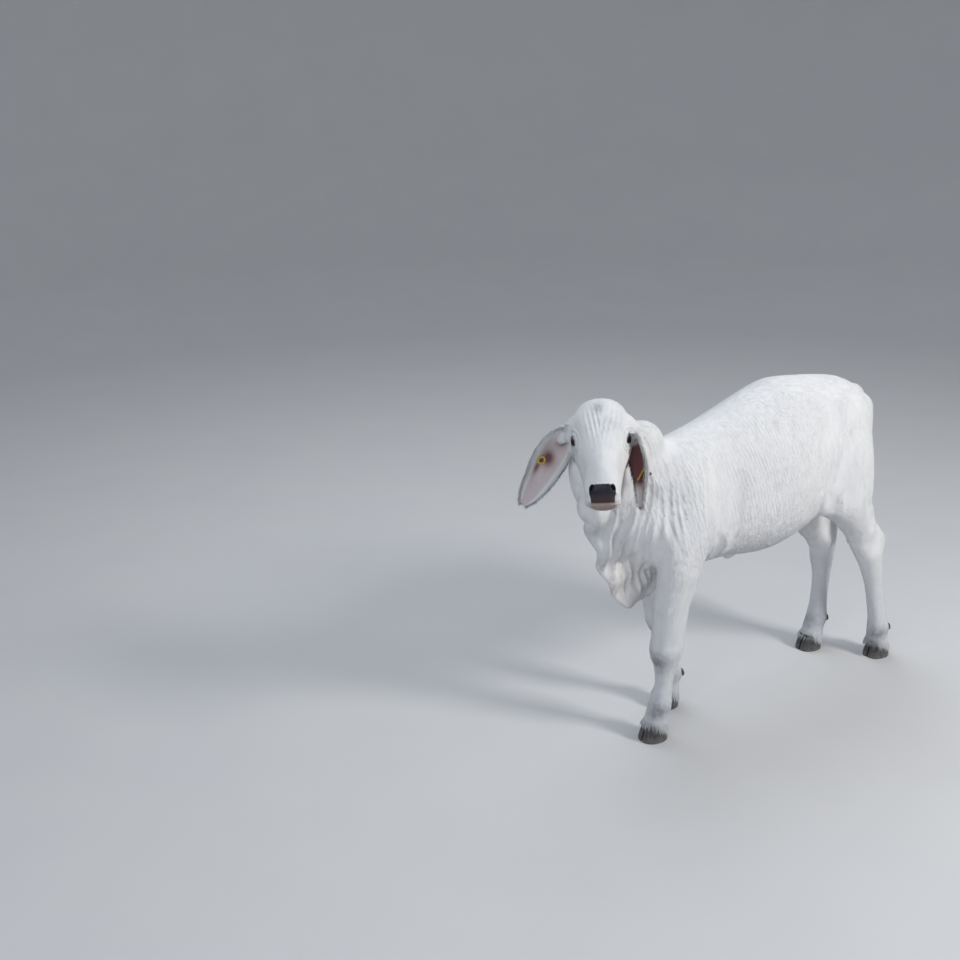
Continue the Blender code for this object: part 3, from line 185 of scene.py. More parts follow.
def noise(tree, scale, detail=3.0, stretch=None, turn=(0, 0, 0)):
    """Give noise over the object's own coordinates, stretched along one way if asked."""
    place = node(tree, "ShaderNodeTexCoord").outputs["Object"]
    if stretch:
        values = {"Vector": place, "Scale": stretch, "Rotation": [math.radians(a) for a in turn]}
        place = node(tree, "ShaderNodeMapping", values).outputs["Vector"]
    values = {"Vector": place, "Scale": scale, "Detail": detail}
    return node(tree, "ShaderNodeTexNoise", values).outputs["Fac"]


def ramp(tree, share, low, high, start=0.0, end=1.0):
    """Map a number from one range to another, held at the ends."""
    values = {0: share, 1: low, 2: high, 3: start, 4: end}
    return node(tree, "ShaderNodeMapRange", values).outputs[0]


def mask(tree, name):
    """Read one marking, a number stored at each point of the mesh."""
    return node(tree, "ShaderNodeAttribute", attribute_name=name).outputs["Fac"]


def maths(tree, operation, here, there):
    """Add, multiply or otherwise join two numbers."""
    return node(tree, "ShaderNodeMath", {0: here, 1: there}, operation=operation).outputs[0]


def bump(tree, shader, height, depth, strength=1.0):
    """Raise the surface by a height of so many metres, and pass the normal to the shader."""
    values = {"Height": height, "Distance": depth, "Strength": strength}
    tree.links.new(node(tree, "ShaderNodeBump", values).outputs[0], shader.inputs["Normal"])


print("Node helpers ready")

# %% [markdown]
# ## The floor's paint
#
# A studio floor is painted card or boards, matt and almost even. Two pale greys mixed by soft noise
# keep it from being a flat fill, and a high roughness keeps reflections out of it.

# %% Floor material
FLOOR_TONE = ((0.56, 0.56, 0.57), (0.60, 0.60, 0.60))

material, tree, shader = new_material("pale_floor")
colour = mixed(tree, noise(tree, 3.0), *FLOOR_TONE)
tree.links.new(colour, shader.inputs["Base Color"])
shader.inputs["Roughness"].default_value = 0.9
studio_floor.data.materials.append(material)
print("Floor material made")

# %% [markdown]
# ## The coat's colours
#
# From a distance the calf is white, but the hair is thin and the hide under it is dark grey. So white
# hair turns grey where it is thin, on the knees and fetlocks and round the eyes, and the same grey is
# painted as shade into the folds and creases, under the belly, at the throat and round the ear roots.
# The nose is moist and black, the upper lip dark brown, the chin a pinkish beige, and the inside of
# each ear maroon in its depth and pale pink towards the tip, with shade painted in maroon low in the
# right ear. A warm tint paints light on the lit left cheek. One material holds all of these and reads
# them from the masks, so the hide and every tuft of hair on it agree.

# %% Hide and hair materials
WHITE_HAIR = (0.780, 0.780, 0.782)
PATCH_WHITE = (0.735, 0.738, 0.750)
TUFT_WHITE = (0.68, 0.685, 0.70)
WARM_HAIR = (0.790, 0.735, 0.685)
COOL_GREY = (0.46, 0.48, 0.53)
SMUDGE_GREY = (0.125, 0.120, 0.125)
RIM_GREY = (0.014, 0.013, 0.014)
NOSE_BLACK = (0.011, 0.012, 0.019)
LIP_BROWN = (0.050, 0.026, 0.027)
CHIN_BEIGE = (0.33, 0.245, 0.23)
EAR_MAROON = (0.150, 0.046, 0.052)
EAR_PINK = (0.52, 0.40, 0.40)
COAT_ROUGH = 0.82
NOSE_ROUGH = 0.27
# Depth of the fine relief, in metres: hide, and single hairs.
HIDE_RELIEF = 0.0005
HAIR_RELIEF = 0.0002
RIPPLE_PERIOD = 0.0100
RIPPLE_DEPTH = 0.0012
RIPPLE_LEAN = 16


def paint_coat(tree):
    """Mix the coat's colours from noise and from the masks."""
    patches = ramp(tree, noise(tree, 7.0, 4.0), 0.38, 0.66)
    hair = mixed(tree, patches, WHITE_HAIR, PATCH_WHITE)
    hair = mixed(tree, ramp(tree, mask(tree, "tint"), 0.0, 1.0, 0.0, 0.16), hair, TUFT_WHITE)
    fine = ramp(tree, noise(tree, 60.0, 3.0, (1.0, 1.0, 0.22), (0, -22, 0)), 0.45, 0.70, 0.0, 0.16)
    hair = mixed(tree, fine, hair, COOL_GREY)
    hair = mixed(tree, mask(tree, "warm"), hair, WARM_HAIR)
    speckle = ramp(tree, noise(tree, 90.0, 4.0), 0.35, 0.65, 0.75, 1.15)
    hair = mixed(tree, maths(tree, "MULTIPLY", mask(tree, "grey_hide_and_shade"), speckle), hair, COOL_GREY)
    hair = mixed(tree, maths(tree, "MULTIPLY", mask(tree, "smudge"), speckle), hair, SMUDGE_GREY)
    for marking, colour in (("ear_pale", EAR_PINK), ("ear_maroon_and_shade", EAR_MAROON), ("chin", CHIN_BEIGE),
                            ("rim", RIM_GREY), ("lip", LIP_BROWN), ("nose", NOSE_BLACK)):
        hair = mixed(tree, mask(tree, marking), hair, colour)
    return hair


def coat_material(name, bump_depth):
    """Make the white coat, with the lie of short hair as a fine bump."""
    material, tree, shader = new_material(name)
    tree.links.new(paint_coat(tree), shader.inputs["Base Color"])
    wet = mask(tree, "nose")
    tree.links.new(ramp(tree, wet, 0.0, 1.0, COAT_ROUGH, NOSE_ROUGH), shader.inputs["Roughness"])
    shader.inputs["Specular IOR Level"].default_value = 0.35
    shader.inputs["Sheen Weight"].default_value = 0.12
    shader.inputs["Sheen Roughness"].default_value = 0.5
    strands = noise(tree, 150.0, 3.0, (1.0, 1.0, 0.16), (0, -14, 0))
    place = node(tree, "ShaderNodeTexCoord").outputs["Object"]
    values = {"Vector": place, "Scale": 420.0}
    pores = node(tree, "ShaderNodeTexVoronoi", values).outputs["Distance"]
    height = node(tree, "ShaderNodeMix", {0: wet, 2: strands, 3: pores}).outputs[0]
    values = {"Vector": place, "Rotation": [0, math.radians(RIPPLE_LEAN), 0]}
    upright = node(tree, "ShaderNodeMapping", values)
    values = {"Vector": upright.outputs[0], "Scale": math.pi / (10 * RIPPLE_PERIOD), "Distortion": 3.2,
              "Detail": 2.0, "Detail Scale": 0.7}
    waves = node(tree, "ShaderNodeTexWave", values).outputs["Fac"]
    waves = maths(tree, "MULTIPLY", waves, mask(tree, "ripple"))
    height = maths(tree, "ADD", maths(tree, "MULTIPLY", height, bump_depth / RIPPLE_DEPTH), waves)
    bump(tree, shader, height, RIPPLE_DEPTH, 0.9)
    return material


hide_coat = coat_material("white_coat_over_grey_hide", HIDE_RELIEF)
hair_coat = coat_material("white_hair", HAIR_RELIEF)
print("Coat materials made")

# %% [markdown]
# ## The body's forms
#
# The calf is drawn as rows of closed sections, as a sculptor sets wire hoops along an armature. These
# are the same rows as in the solids. Sections are lofted into sleeves for trunk, neck, dewlap, head
# and limbs, and a voxel remesh fuses the sleeves into one closed skin, as clay would.

# %% Sizes shared with the solids
CAD_SHIFT = (0.072195, 0.014644, 0.0)
GRAIN = 0.006
RING_POINTS = 40

# Torso rows: x, height of the back, height of the belly, half width, where it is widest.
TORSO = (
    (-0.428, 0.650, 0.560, 0.030, 0.50),
    (-0.412, 0.715, 0.505, 0.062, 0.48),
    (-0.365, 0.757, 0.458, 0.092, 0.46),
    (-0.300, 0.777, 0.432, 0.106, 0.44),
    (-0.210, 0.797, 0.434, 0.114, 0.42),
    (-0.120, 0.823, 0.434, 0.127, 0.42),
    (-0.020, 0.856, 0.422, 0.138, 0.42),
    (0.060, 0.877, 0.426, 0.139, 0.44),
    (0.160, 0.871, 0.450, 0.128, 0.50),
    (0.250, 0.860, 0.490, 0.118, 0.60),
    (0.315, 0.845, 0.540, 0.110, 0.62),
    (0.368, 0.808, 0.600, 0.084, 0.60),
    (0.396, 0.762, 0.668, 0.046, 0.55),
    (0.408, 0.732, 0.692, 0.022, 0.55),
)
# Neck rows: crest x, y, z, throat x, y, z, half width, turn of the section in degrees.
NECK = (
    (-0.320, 0.000, 0.770, -0.375, 0.000, 0.450, 0.085, 0),
    (-0.385, 0.000, 0.785, -0.435, 0.000, 0.505, 0.082, 4),
    (-0.430, 0.004, 0.802, -0.490, -0.004, 0.560, 0.075, 16),
    (-0.462, 0.016, 0.828, -0.532, -0.016, 0.618, 0.070, 30),
    (-0.484, 0.028, 0.855, -0.556, -0.030, 0.662, 0.066, 44),
    (-0.505, 0.020, 0.862, -0.566, -0.046, 0.706, 0.058, 53),
)
HUMP_CENTRE = (-0.388, 0.002, 0.768)
HUMP_RADII = (0.070, 0.054, 0.070)
THROAT_CENTRE = (-0.560, -0.031, 0.667)
THROAT_RADII = (0.034, 0.034, 0.046)
# Dewlap rows: free edge x, y, z, root x, z, half thickness.
DEWLAP = (
    (-0.592, -0.080, 0.690, -0.540, 0.715, 0.022),
    (-0.578, -0.048, 0.650, -0.510, 0.690, 0.036),
    (-0.560, -0.018, 0.606, -0.470, 0.650, 0.038),
    (-0.530, 0.000, 0.560, -0.440, 0.600, 0.030),
    (-0.512, 0.000, 0.515, -0.415, 0.550, 0.021),
    (-0.504, 0.000, 0.478, -0.395, 0.515, 0.016),
    (-0.484, 0.000, 0.442, -0.370, 0.490, 0.014),
    (-0.460, 0.000, 0.405, -0.350, 0.475, 0.013),
    (-0.434, 0.000, 0.371, -0.330, 0.465, 0.013),
    (-0.400, 0.000, 0.350, -0.310, 0.460, 0.013),
    (-0.355, 0.000, 0.362, -0.280, 0.460, 0.013),
    (-0.310, 0.000, 0.402, -0.250, 0.465, 0.013),
)
PLEATS = 5
PLEAT_DEPTH = 0.010
print("Torso, neck and dewlap:", len(TORSO) + len(NECK) + len(DEWLAP), "sections")

# %% [markdown]
# ## The head
#
# The calf looks to its left and down, so nothing on its face lies square to the world. The head gets
# axes of its own instead: along the face, to its left and up. Every feature is then drawn as on a head
# that looks straight ahead, and one matrix turns them all into place.

# %% The head's own axes and rows
# The head sits at the point midway between the eyes and turns from there.
EYE_MIDDLE = (-0.544, -0.0407, 0.831)
HEAD_TURN = 52.5
HEAD_PITCH = 28.0
HEAD_ROLL = 4.8

# Head rows along the face: distance, top, bottom, half width, where it is widest.
HEAD = (
    (-0.122, -0.012, -0.045, 0.024, 0.50),
    (-0.110, 0.018, -0.075, 0.046, 0.55),
    (-0.085, 0.040, -0.104, 0.061, 0.58),
    (-0.050, 0.051, -0.120, 0.070, 0.60),
    (-0.015, 0.052, -0.126, 0.072, 0.58),
    (0.015, 0.046, -0.119, 0.067, 0.62),
    (0.045, 0.039, -0.109, 0.060, 0.62),
    (0.075, 0.033, -0.098, 0.053, 0.58),
    (0.105, 0.027, -0.091, 0.0455, 0.45),
    (0.130, 0.021, -0.087, 0.0415, 0.45),
    (0.148, 0.012, -0.082, 0.040, 0.50),
    (0.162, -0.001, -0.073, 0.036, 0.50),
    (0.170, -0.016, -0.060, 0.025, 0.50),
)

turn = Matrix.Rotation(math.pi + math.radians(HEAD_TURN), 4, "Z")
pitch = Matrix.Rotation(math.radians(HEAD_PITCH), 4, "Y")
roll = Matrix.Rotation(math.radians(HEAD_ROLL), 4, "X")
HEAD_PLACE = Matrix.Translation(EYE_MIDDLE) @ turn @ pitch @ roll
HEAD_TURNING = HEAD_PLACE.to_3x3()
print("The face looks along", [round(n, 2) for n in HEAD_TURNING @ Vector((1, 0, 0))])

# %% [markdown]
# ## The limbs
#
# Both fore legs have the same bones, and so have both hind legs, but each stands in a place of its own.
# So the girth of a limb at each height is one table, and the line that its middle follows is another.

# %% Shapes of the limbs
# Limb sections: height, reach to the front, reach to the rear, half width.
FORE_SHAPE = (
    (0.740, 0.034, 0.044, 0.026),
    (0.680, 0.058, 0.066, 0.038),
    (0.610, 0.078, 0.082, 0.046),
    (0.540, 0.074, 0.078, 0.050),
    (0.490, 0.064, 0.064, 0.049),
    (0.455, 0.056, 0.056, 0.046),
    (0.420, 0.052, 0.054, 0.043),
    (0.370, 0.050, 0.049, 0.040),
    (0.320, 0.047, 0.045, 0.038),
    (0.275, 0.047, 0.044, 0.036),
    (0.245, 0.048, 0.045, 0.036),
    (0.215, 0.037, 0.038, 0.031),
    (0.185, 0.028, 0.029, 0.024),
    (0.150, 0.024, 0.026, 0.021),
    (0.120, 0.026, 0.029, 0.023),
    (0.090, 0.031, 0.034, 0.028),
    (0.065, 0.033, 0.031, 0.028),
    (0.040, 0.037, 0.033, 0.031),
    (0.010, 0.038, 0.032, 0.031),
)
HIND_SHAPE = (
    (0.780, 0.100, 0.075, 0.044),
    (0.720, 0.118, 0.090, 0.056),
    (0.620, 0.102, 0.106, 0.059),
    (0.550, 0.102, 0.107, 0.055),
    (0.515, 0.102, 0.102, 0.050),
    (0.490, 0.086, 0.090, 0.046),
    (0.460, 0.070, 0.068, 0.041),
    (0.420, 0.064, 0.066, 0.036),
    (0.390, 0.066, 0.066, 0.033),
    (0.360, 0.058, 0.058, 0.032),
    (0.315, 0.040, 0.041, 0.030),
    (0.280, 0.034, 0.035, 0.026),
    (0.240, 0.030, 0.030, 0.022),
    (0.180, 0.028, 0.029, 0.021),
    (0.130, 0.028, 0.031, 0.023),
    (0.090, 0.033, 0.036, 0.028),
    (0.060, 0.035, 0.032, 0.028),
    (0.040, 0.038, 0.034, 0.031),
    (0.010, 0.039, 0.033, 0.031),
)
print("Limb sections:", len(FORE_SHAPE), "in a fore leg and", len(HIND_SHAPE), "in a hind leg")

# %% Where each leg stands
# Each leg's own stance: height, x and y of the limb's axis.
STANCE = {
    "fore_left": (
        (0.740, -0.262, -0.052),
        (0.680, -0.274, -0.066),
        (0.540, -0.305, -0.080),
        (0.455, -0.320, -0.086),
        (0.370, -0.333, -0.080),
        (0.245, -0.330, -0.070),
        (0.150, -0.332, -0.066),
        (0.090, -0.341, -0.064),
        (0.010, -0.355, -0.063),
    ),
    "fore_right": (
        (0.740, -0.256, 0.052),
        (0.680, -0.264, 0.066),
        (0.540, -0.268, 0.080),
        (0.455, -0.255, 0.086),
        (0.370, -0.247, 0.080),
        (0.245, -0.220, 0.066),
        (0.150, -0.202, 0.059),
        (0.090, -0.196, 0.053),
        (0.010, -0.214, 0.048),
    ),
    "hind_left": (
        (0.780, 0.285, -0.054),
        (0.620, 0.266, -0.072),
        (0.515, 0.270, -0.086),
        (0.460, 0.328, -0.086),
        (0.420, 0.366, -0.084),
        (0.390, 0.393, -0.082),
        (0.315, 0.422, -0.080),
        (0.240, 0.452, -0.078),
        (0.180, 0.471, -0.076),
        (0.090, 0.497, -0.075),
        (0.010, 0.504, -0.075),
    ),
    "hind_right": (
        (0.780, 0.280, 0.054),
        (0.620, 0.255, 0.072),
        (0.515, 0.250, 0.086),
        (0.460, 0.312, 0.084),
        (0.420, 0.354, 0.082),
        (0.390, 0.383, 0.080),
        (0.315, 0.413, 0.076),
        (0.240, 0.411, 0.073),
        (0.180, 0.405, 0.071),
        (0.090, 0.399, 0.070),
        (0.010, 0.376, 0.068),
    ),
}
print("Stances of", len(STANCE), "legs")

# %% [markdown]
# ## Tail, muscles and bones
#
# The tail is a thin core that hangs from the end of the spine. Muscles, the points of the hips and the
# hollow of the flank show as soft rises and dips, each one row in a table.

# %% Tail, muscles and joins
# Tail: x and z of its core from the root down, and its radius there.
TAIL = (
    (0.320, 0.795, 0.018),
    (0.360, 0.802, 0.020),
    (0.392, 0.790, 0.019),
    (0.412, 0.755, 0.0165),
    (0.419, 0.700, 0.015),
    (0.419, 0.620, 0.0135),
    (0.423, 0.540, 0.012),
    (0.429, 0.460, 0.010),
    (0.431, 0.425, 0.006),
)
# Muscles, bones and hollows on both sides: x, y, z, three radii, height off the skin.
FORMS = (
    (-0.385, 0.084, 0.585, 0.036, 0.036, 0.042, 0.010),
    (-0.290, 0.100, 0.690, 0.040, 0.040, 0.080, 0.007),
    (-0.255, 0.118, 0.560, 0.045, 0.040, 0.060, 0.009),
    (-0.180, 0.118, 0.640, 0.034, 0.050, 0.110, -0.006),
    (0.175, 0.115, 0.755, 0.050, 0.050, 0.055, -0.009),
    (0.222, 0.100, 0.822, 0.034, 0.030, 0.028, 0.010),
    (0.375, 0.055, 0.780, 0.030, 0.028, 0.030, 0.009),
    (0.190, 0.122, 0.550, 0.045, 0.035, 0.050, 0.009),
    (0.320, 0.120, 0.640, 0.050, 0.035, 0.080, 0.006),
)
# Forms that only one place has, in the same columns.
LONE_FORMS = (
    (-0.058, 0.000, 0.420, 0.034, 0.018, 0.030, 0.014),
    (0.318, 0.080, 0.390, 0.034, 0.045, 0.080, 0.017),
    (0.368, 0.076, 0.290, 0.030, 0.035, 0.055, 0.014),
    (0.452, 0.078, 0.380, 0.030, 0.040, 0.070, 0.010),
)
# Places where forms flow into each other: x, z, radius, passes of plain smoothing.
BLENDS = (
    (-0.340, 0.790, 0.085, 16),
    (-0.430, 0.800, 0.070, 12),
    (-0.300, 0.640, 0.120, 10),
    (-0.420, 0.560, 0.100, 8),
    (0.230, 0.660, 0.130, 10),
    (0.375, 0.700, 0.080, 8),
    (0.175, 0.520, 0.070, 14),
)
print("Muscles and bones:", len(FORMS), "on both sides and", len(LONE_FORMS), "alone")


# %% [markdown]
# ## Sections and lofts
#
# A section here is one closed hoop of points, and a loft is the skin between many of them. Blender has
# curves with bevels for this, but hoops in code can change width and slant from one to the next.

# %% Hoops and rings
def smooth_rows(rows, steps):
    """Read a smooth curve through rows of numbers, with a few steps between each two."""
    points = np.array(rows, float)
    padded = np.vstack([2 * points[0] - points[1], points, 2 * points[-1] - points[-2]])
    out = []
    for k in range(1, len(padded) - 2):
        before, here, there, after = padded[k - 1:k + 3]
        for step in range(steps):
            t = step / steps
            out.append(0.5 * (2 * here + (there - before) * t
                              + (2 * before - 5 * here + 4 * there - after) * t ** 2
                              + (3 * here - before - 3 * there + after) * t ** 3))
    out.append(points[-1])
    return out


def hoop(front, back, half_width, side, widest=0.5, power=2.0):
    """Draw one closed section between a front and a back point, widest at a share of the way."""
    front = Vector(front)
    back = Vector(back)
    middle = back.lerp(front, widest)
    ring = []
    for k in range(RING_POINTS):
        angle = 2 * math.pi * k / RING_POINTS
        across = math.copysign(abs(math.cos(angle)) ** (2 / power), math.cos(angle))
        along = math.copysign(abs(math.sin(angle)) ** (2 / power), math.sin(angle))
        reach = front - middle if along > 0 else middle - back
        ring.append(middle + reach * along + side * (half_width * across))
    return ring


def circle(centre, run, radius, sides, flat=1.0, face=(0, 0, 1)):
    """Draw a ring of points across a direction, flattened towards a facing direction."""
    run = Vector(run).normalized()
    across = run.cross(Vector(face)).normalized()
    out = across.cross(run)
    ring = []
    for k in range(sides):
        angle = 2 * math.pi * k / sides
        spoke = across * (radius * math.cos(angle)) + out * (radius * flat * math.sin(angle))
        ring.append(centre + spoke)
    return ring


print("Hoops of", RING_POINTS, "points")


# %% Lofts
def loft(bm, rings, ends="flat"):
    """Bridge rings into one closed sleeve facing out: flat ends, folded ends or a full round."""
    loops = []
    for ring in rings:
        loops.append([bm.verts.new(point) for point in ring])
    faces = []
    if ends == "flat":
        faces = [bm.faces.new(loops[0]), bm.faces.new(loops[-1])]
    if ends == "folded":
        for ring in (loops[0], loops[-1]):
            for k in range(len(ring) // 2 - 1):
                faces.append(bm.faces.new((ring[k], ring[k + 1], ring[-k - 2], ring[-k - 1])))
    following = loops[1:] + loops[:1] if ends == "round" else loops[1:]
    for near, far in zip(loops, following):
        for k in range(len(near)):
            after = (k + 1) % len(near)
            faces.append(bm.faces.new((near[k], near[after], far[after], far[k])))
    bmesh.ops.recalc_face_normals(bm, faces=faces)


def ellipsoid(bm, centre, radii, place=None):
    """Add a ball stretched to three radii."""
    matrix = (place or Matrix()) @ Matrix.Translation(centre) @ Matrix.Diagonal((*radii, 1))
    bmesh.ops.create_uvsphere(bm, u_segments=24, v_segments=16, radius=1, matrix=matrix)


print("Loft helpers ready")


# %% Objects and modifiers
def new_object(name, bm):
    """Turn a bmesh into an object and link it."""
    mesh = bpy.data.meshes.new(name)
    bm.to_mesh(mesh)
    bm.free()
    thing = bpy.data.objects.new(name, mesh)
    bpy.context.scene.collection.objects.link(thing)
    return thing


def apply_modifiers(thing):
    """Bake an object's modifiers into its mesh."""
    depsgraph = bpy.context.evaluated_depsgraph_get()
    baked = bpy.data.meshes.new_from_object(thing.evaluated_get(depsgraph))
    old = thing.data
    thing.modifiers.clear()
    thing.data = baked
    bpy.data.meshes.remove(old)


def voxel_remesh(thing, size):
    """Fuse whatever overlaps into one skin of even faces."""
    fuse = thing.modifiers.new("fuse", "REMESH")
    fuse.mode = "VOXEL"
    fuse.voxel_size = size
    apply_modifiers(thing)


print("First skin will have a grain of", GRAIN * 1000, "mm")

# %% [markdown]
# ## The first skin
#
# Each sleeve is made on its own and reaches well into its neighbour, because a voxel remesh only fuses
# what overlaps. The result is coarse and lumpy, which the next step mends.


# %% Sleeves of the body
def torso_rings():
    """Read the trunk's sections."""
    side = Vector((0, -1, 0))
    rings = []
    for x, back, belly, width, widest in smooth_rows(TORSO, 3):
        rings.append(hoop((x, 0, back), (x, 0, belly), width, side, widest, 2.15))
    return rings


def neck_rings():
    """Read the neck's sections, each turned further towards where the head looks."""
    rings = []
    for cx, cy, cz, tx, ty, tz, width, turn in smooth_rows(NECK, 3):
        side = Matrix.Rotation(math.radians(turn), 3, "Z") @ Vector((0, -1, 0))
        rings.append(hoop((cx, cy, cz), (tx, ty, tz), width, side, 0.45))
    return rings


def dewlap_rings():
    """Read the dewlap's sections, whose free edge sways from side to side in pleats."""
    rings = []
    rows = smooth_rows(DEWLAP, 4)
    for k, (ex, ey, ez, rx, rz, width) in enumerate(rows):
        wave = PLEAT_DEPTH * math.sin(2 * math.pi * PLEATS * k / len(rows))
        side = Vector((0, -1, 0))
        rings.append(hoop((ex, ey + wave, ez), (rx, ey * 0.6, rz), width, side, 0.45, 2.6))
    return rings


def head_rings():
    """Read the head's sections and turn them into place."""
    rings = []
    for along, top, bottom, width, widest in smooth_rows(HEAD, 3):
        ring = hoop((along, 0, top), (along, 0, bottom), width, Vector((0, 1, 0)), widest, 2.2)
        rings.append([HEAD_PLACE @ point for point in ring])
    return rings


print("Head and dewlap have", len(head_rings() + dewlap_rings()), "hoops")


# %% Sleeves of the limbs and the roots of the ears
def limb_axis(stance, height):
    """Give the x and y of a limb's axis at a height."""
    rising = np.array(stance[::-1])
    x = np.interp(height, rising[:, 0], rising[:, 1])
    y = np.interp(height, rising[:, 0], rising[:, 2])
    return float(x), float(y)


def limb_rings(shape, stance):
    """Hang a limb's sections on its own axis."""
    side = Vector((0, -1, 0))
    rings = []
    for height, front, rear, width in smooth_rows(shape, 3):
        x, y = limb_axis(stance, height)
        rings.append(hoop((x - front, y, height), (x + rear, y, height), width, side, 0.5, 2.2))
    return rings


# The fleshy root of each ear, in the head's axes: along the face, out to the side, up, radius.
EAR_ROOT = (
    (-0.040, 0.035, 0.012, 0.030),
    (-0.034, 0.060, 0.003, 0.024),
    (-0.021, 0.083, -0.008, 0.017),
    (-0.008, 0.098, -0.021, 0.011),
)


def ear_root_rings(sign):
    """Draw the fleshy root of one ear as rings that narrow away from the head."""
    rows = smooth_rows(EAR_ROOT, 3)
    centres = [HEAD_PLACE @ Vector((along, sign * out, up)) for along, out, up, _ in rows]
    rings = []
    for k, centre in enumerate(centres):
        run = centres[min(k + 1, len(centres) - 1)] - centres[max(k - 1, 0)]
        rings.append(circle(centre, run, rows[k][3], RING_POINTS))
    return rings


print("Ear roots narrow from", EAR_ROOT[0][3] * 1000, "to", EAR_ROOT[-1][3] * 1000, "mm")

# %% Fuse the sleeves
bm = bmesh.new()
for rings in (torso_rings(), neck_rings(), dewlap_rings(), head_rings(),
              ear_root_rings(1), ear_root_rings(-1)):
    loft(bm, rings)
ellipsoid(bm, HUMP_CENTRE, HUMP_RADII)
ellipsoid(bm, THROAT_CENTRE, THROAT_RADII)
for leg, stance in STANCE.items():
    loft(bm, limb_rings(FORE_SHAPE if leg.startswith("fore") else HIND_SHAPE, stance))
skin = new_object("skin", bm)
voxel_remesh(skin, GRAIN)
print("First skin:", len(skin.data.polygons), "faces")


# %% [markdown]
# ## Smoothing and muscles
#
# A voxel skin is lumpy. Pulling each point towards the mean of its neighbours smooths it but also
# shrinks it, so each pass is followed by one that pushes out again. Plain smoothing is kept for the
# places where a limb flows into the trunk. Muscles and bones are then raised as soft bumps.

# %% Read and write a mesh
def read_rows(owner, what, width, kind=float):
    """Read one property of all parts of a mesh as rows of numbers."""
    values = np.empty(len(owner) * width, kind)
    owner.foreach_get(what, values)
    return values.reshape(-1, width)


def mesh_points(mesh):
    """Read a mesh's points."""
    return read_rows(mesh.vertices, "co", 3)


def set_points(mesh, points):
    """Write a mesh's points back."""
    mesh.vertices.foreach_set("co", points.ravel())
    mesh.update()


def vertex_normals(mesh):
    """Read which way the skin faces at each point."""
    return read_rows(mesh.vertex_normals, "vector", 3)


print("Mesh readers ready")


# %% Neighbours and smoothing
class Neighbours:
    """The edges of a mesh, ready to average each point's neighbours."""

    def __init__(self, mesh):
        self.a, self.b = read_rows(mesh.edges, "vertices", 2, int).T
        self.size = len(mesh.vertices)
        self.count = (np.bincount(self.a, minlength=self.size)
                      + np.bincount(self.b, minlength=self.size))

    def mean(self, values):
        """Average the values of each point's neighbours."""
        total = np.zeros_like(values)
        for column in range(values.shape[1]):
            total[:, column] = (np.bincount(self.a, values[self.b, column], self.size)
                                + np.bincount(self.b, values[self.a, column], self.size))
        return total / self.count[:, None]


def relax(mesh, passes, shrink=0.55, grow=-0.57):
    """Smooth a mesh without shrinking it."""
    around = Neighbours(mesh)
    points = mesh_points(mesh)
    for _ in range(passes):
        for factor in (shrink, grow):
            points += factor * (around.mean(points) - points)
    set_points(mesh, points)


def blend_places(mesh):
    """Let limbs and hump flow into the trunk by plain smoothing near each join."""
    around = Neighbours(mesh)
    points = mesh_points(mesh)
    for x, z, radius, passes in BLENDS:
        share = np.exp(-(((points[:, 0] - x) ** 2 + (points[:, 2] - z) ** 2) / radius ** 2) ** 2)
        for _ in range(passes):
            points += 0.6 * share[:, None] * (around.mean(points) - points)
    set_points(mesh, points)


def raise_forms(mesh, rows):
    """Push soft bumps out of the skin, and hollows in."""
    points = mesh_points(mesh)
    normals = vertex_normals(mesh)
    for x, y, z, rx, ry, rz, height in rows:
        away = (points - (x, y, z)) / (rx, ry, rz)
        points += normals * (height * np.exp(-(away ** 2).sum(1)))[:, None]
    set_points(mesh, points)


def both_sides(rows):
    """Repeat each form on the other side."""
    return [row for x, y, *rest in rows for row in ((x, y, *rest), (x, -y, *rest))]


print("Joins to blend:", len(BLENDS))

# %% Smooth the first skin and raise its forms
relax(skin.data, 30)
blend_places(skin.data)
raise_forms(skin.data, list(LONE_FORMS) + both_sides(FORMS))
relax(skin.data, 6)
print("Body smoothed, with", len(LONE_FORMS) + 2 * len(FORMS), "muscles, bones and hollows")


# %% [markdown]
# ## Eyes, mouth, nostrils and ears
#
# Lids and lips are tubes laid on the skin and joined to it. Sockets, nostrils and the mouth are cut
# out of it. Each ear is a cupped leaf whose root is a short closed tube. The solids have the same
# features with few faces; here they are finer, and a second remesh melts them into the skin.

# %% Boolean helpers and the values of the face
EYE_SPOT = (0.0035, 0.0490, 0.0006)
EYE_LOOK = (0.58, 0.74, 0.34)
EYE_RADIUS = 0.0175
LID_HALF_LENGTH = 0.0128
LID_HALF_HEIGHT = 0.0092
LID_RADIUS = 0.0024
LID_SLANT = 18
LID_POINTS = 40
MOUTH_CORNER = (0.105, -0.070)
MOUTH_FRONT = (0.185, -0.030)
LIP_RADIUS = 0.0055
MOUTH_DEPTH = 0.005
NOSTRIL = (0.155, 0.0245, -0.003)
NOSTRIL_RADII = (0.011, 0.0052, 0.0085)
NOSTRIL_YAW = 38
NOSTRIL_PITCH = -20


def boolean(target, tool, operation):
    """Apply one Boolean and remove its tool."""
    step = target.modifiers.new("boolean", "BOOLEAN")
    step.operation = operation
    step.solver = "MANIFOLD"
    step.object = tool
    apply_modifiers(target)
    bpy.data.objects.remove(tool, do_unlink=True)


def work_sleeve(name, rings, operation="UNION", ends="flat"):
    """Loft rings and join the sleeve to the skin, or cut it out of the skin."""
    bm = bmesh.new()
    loft(bm, rings, ends)
    boolean(skin, new_object(name, bm), operation)


def tree_of(thing):
    """Index a mesh for ray casts and nearest points."""
    points = [vertex.co for vertex in thing.data.vertices]
    return BVHTree.FromPolygons(points, [polygon.vertices for polygon in thing.data.polygons])


print("Eyes of", 2 * EYE_RADIUS * 1000, "mm, lids open by", 2 * LID_HALF_HEIGHT * 1000, "mm")

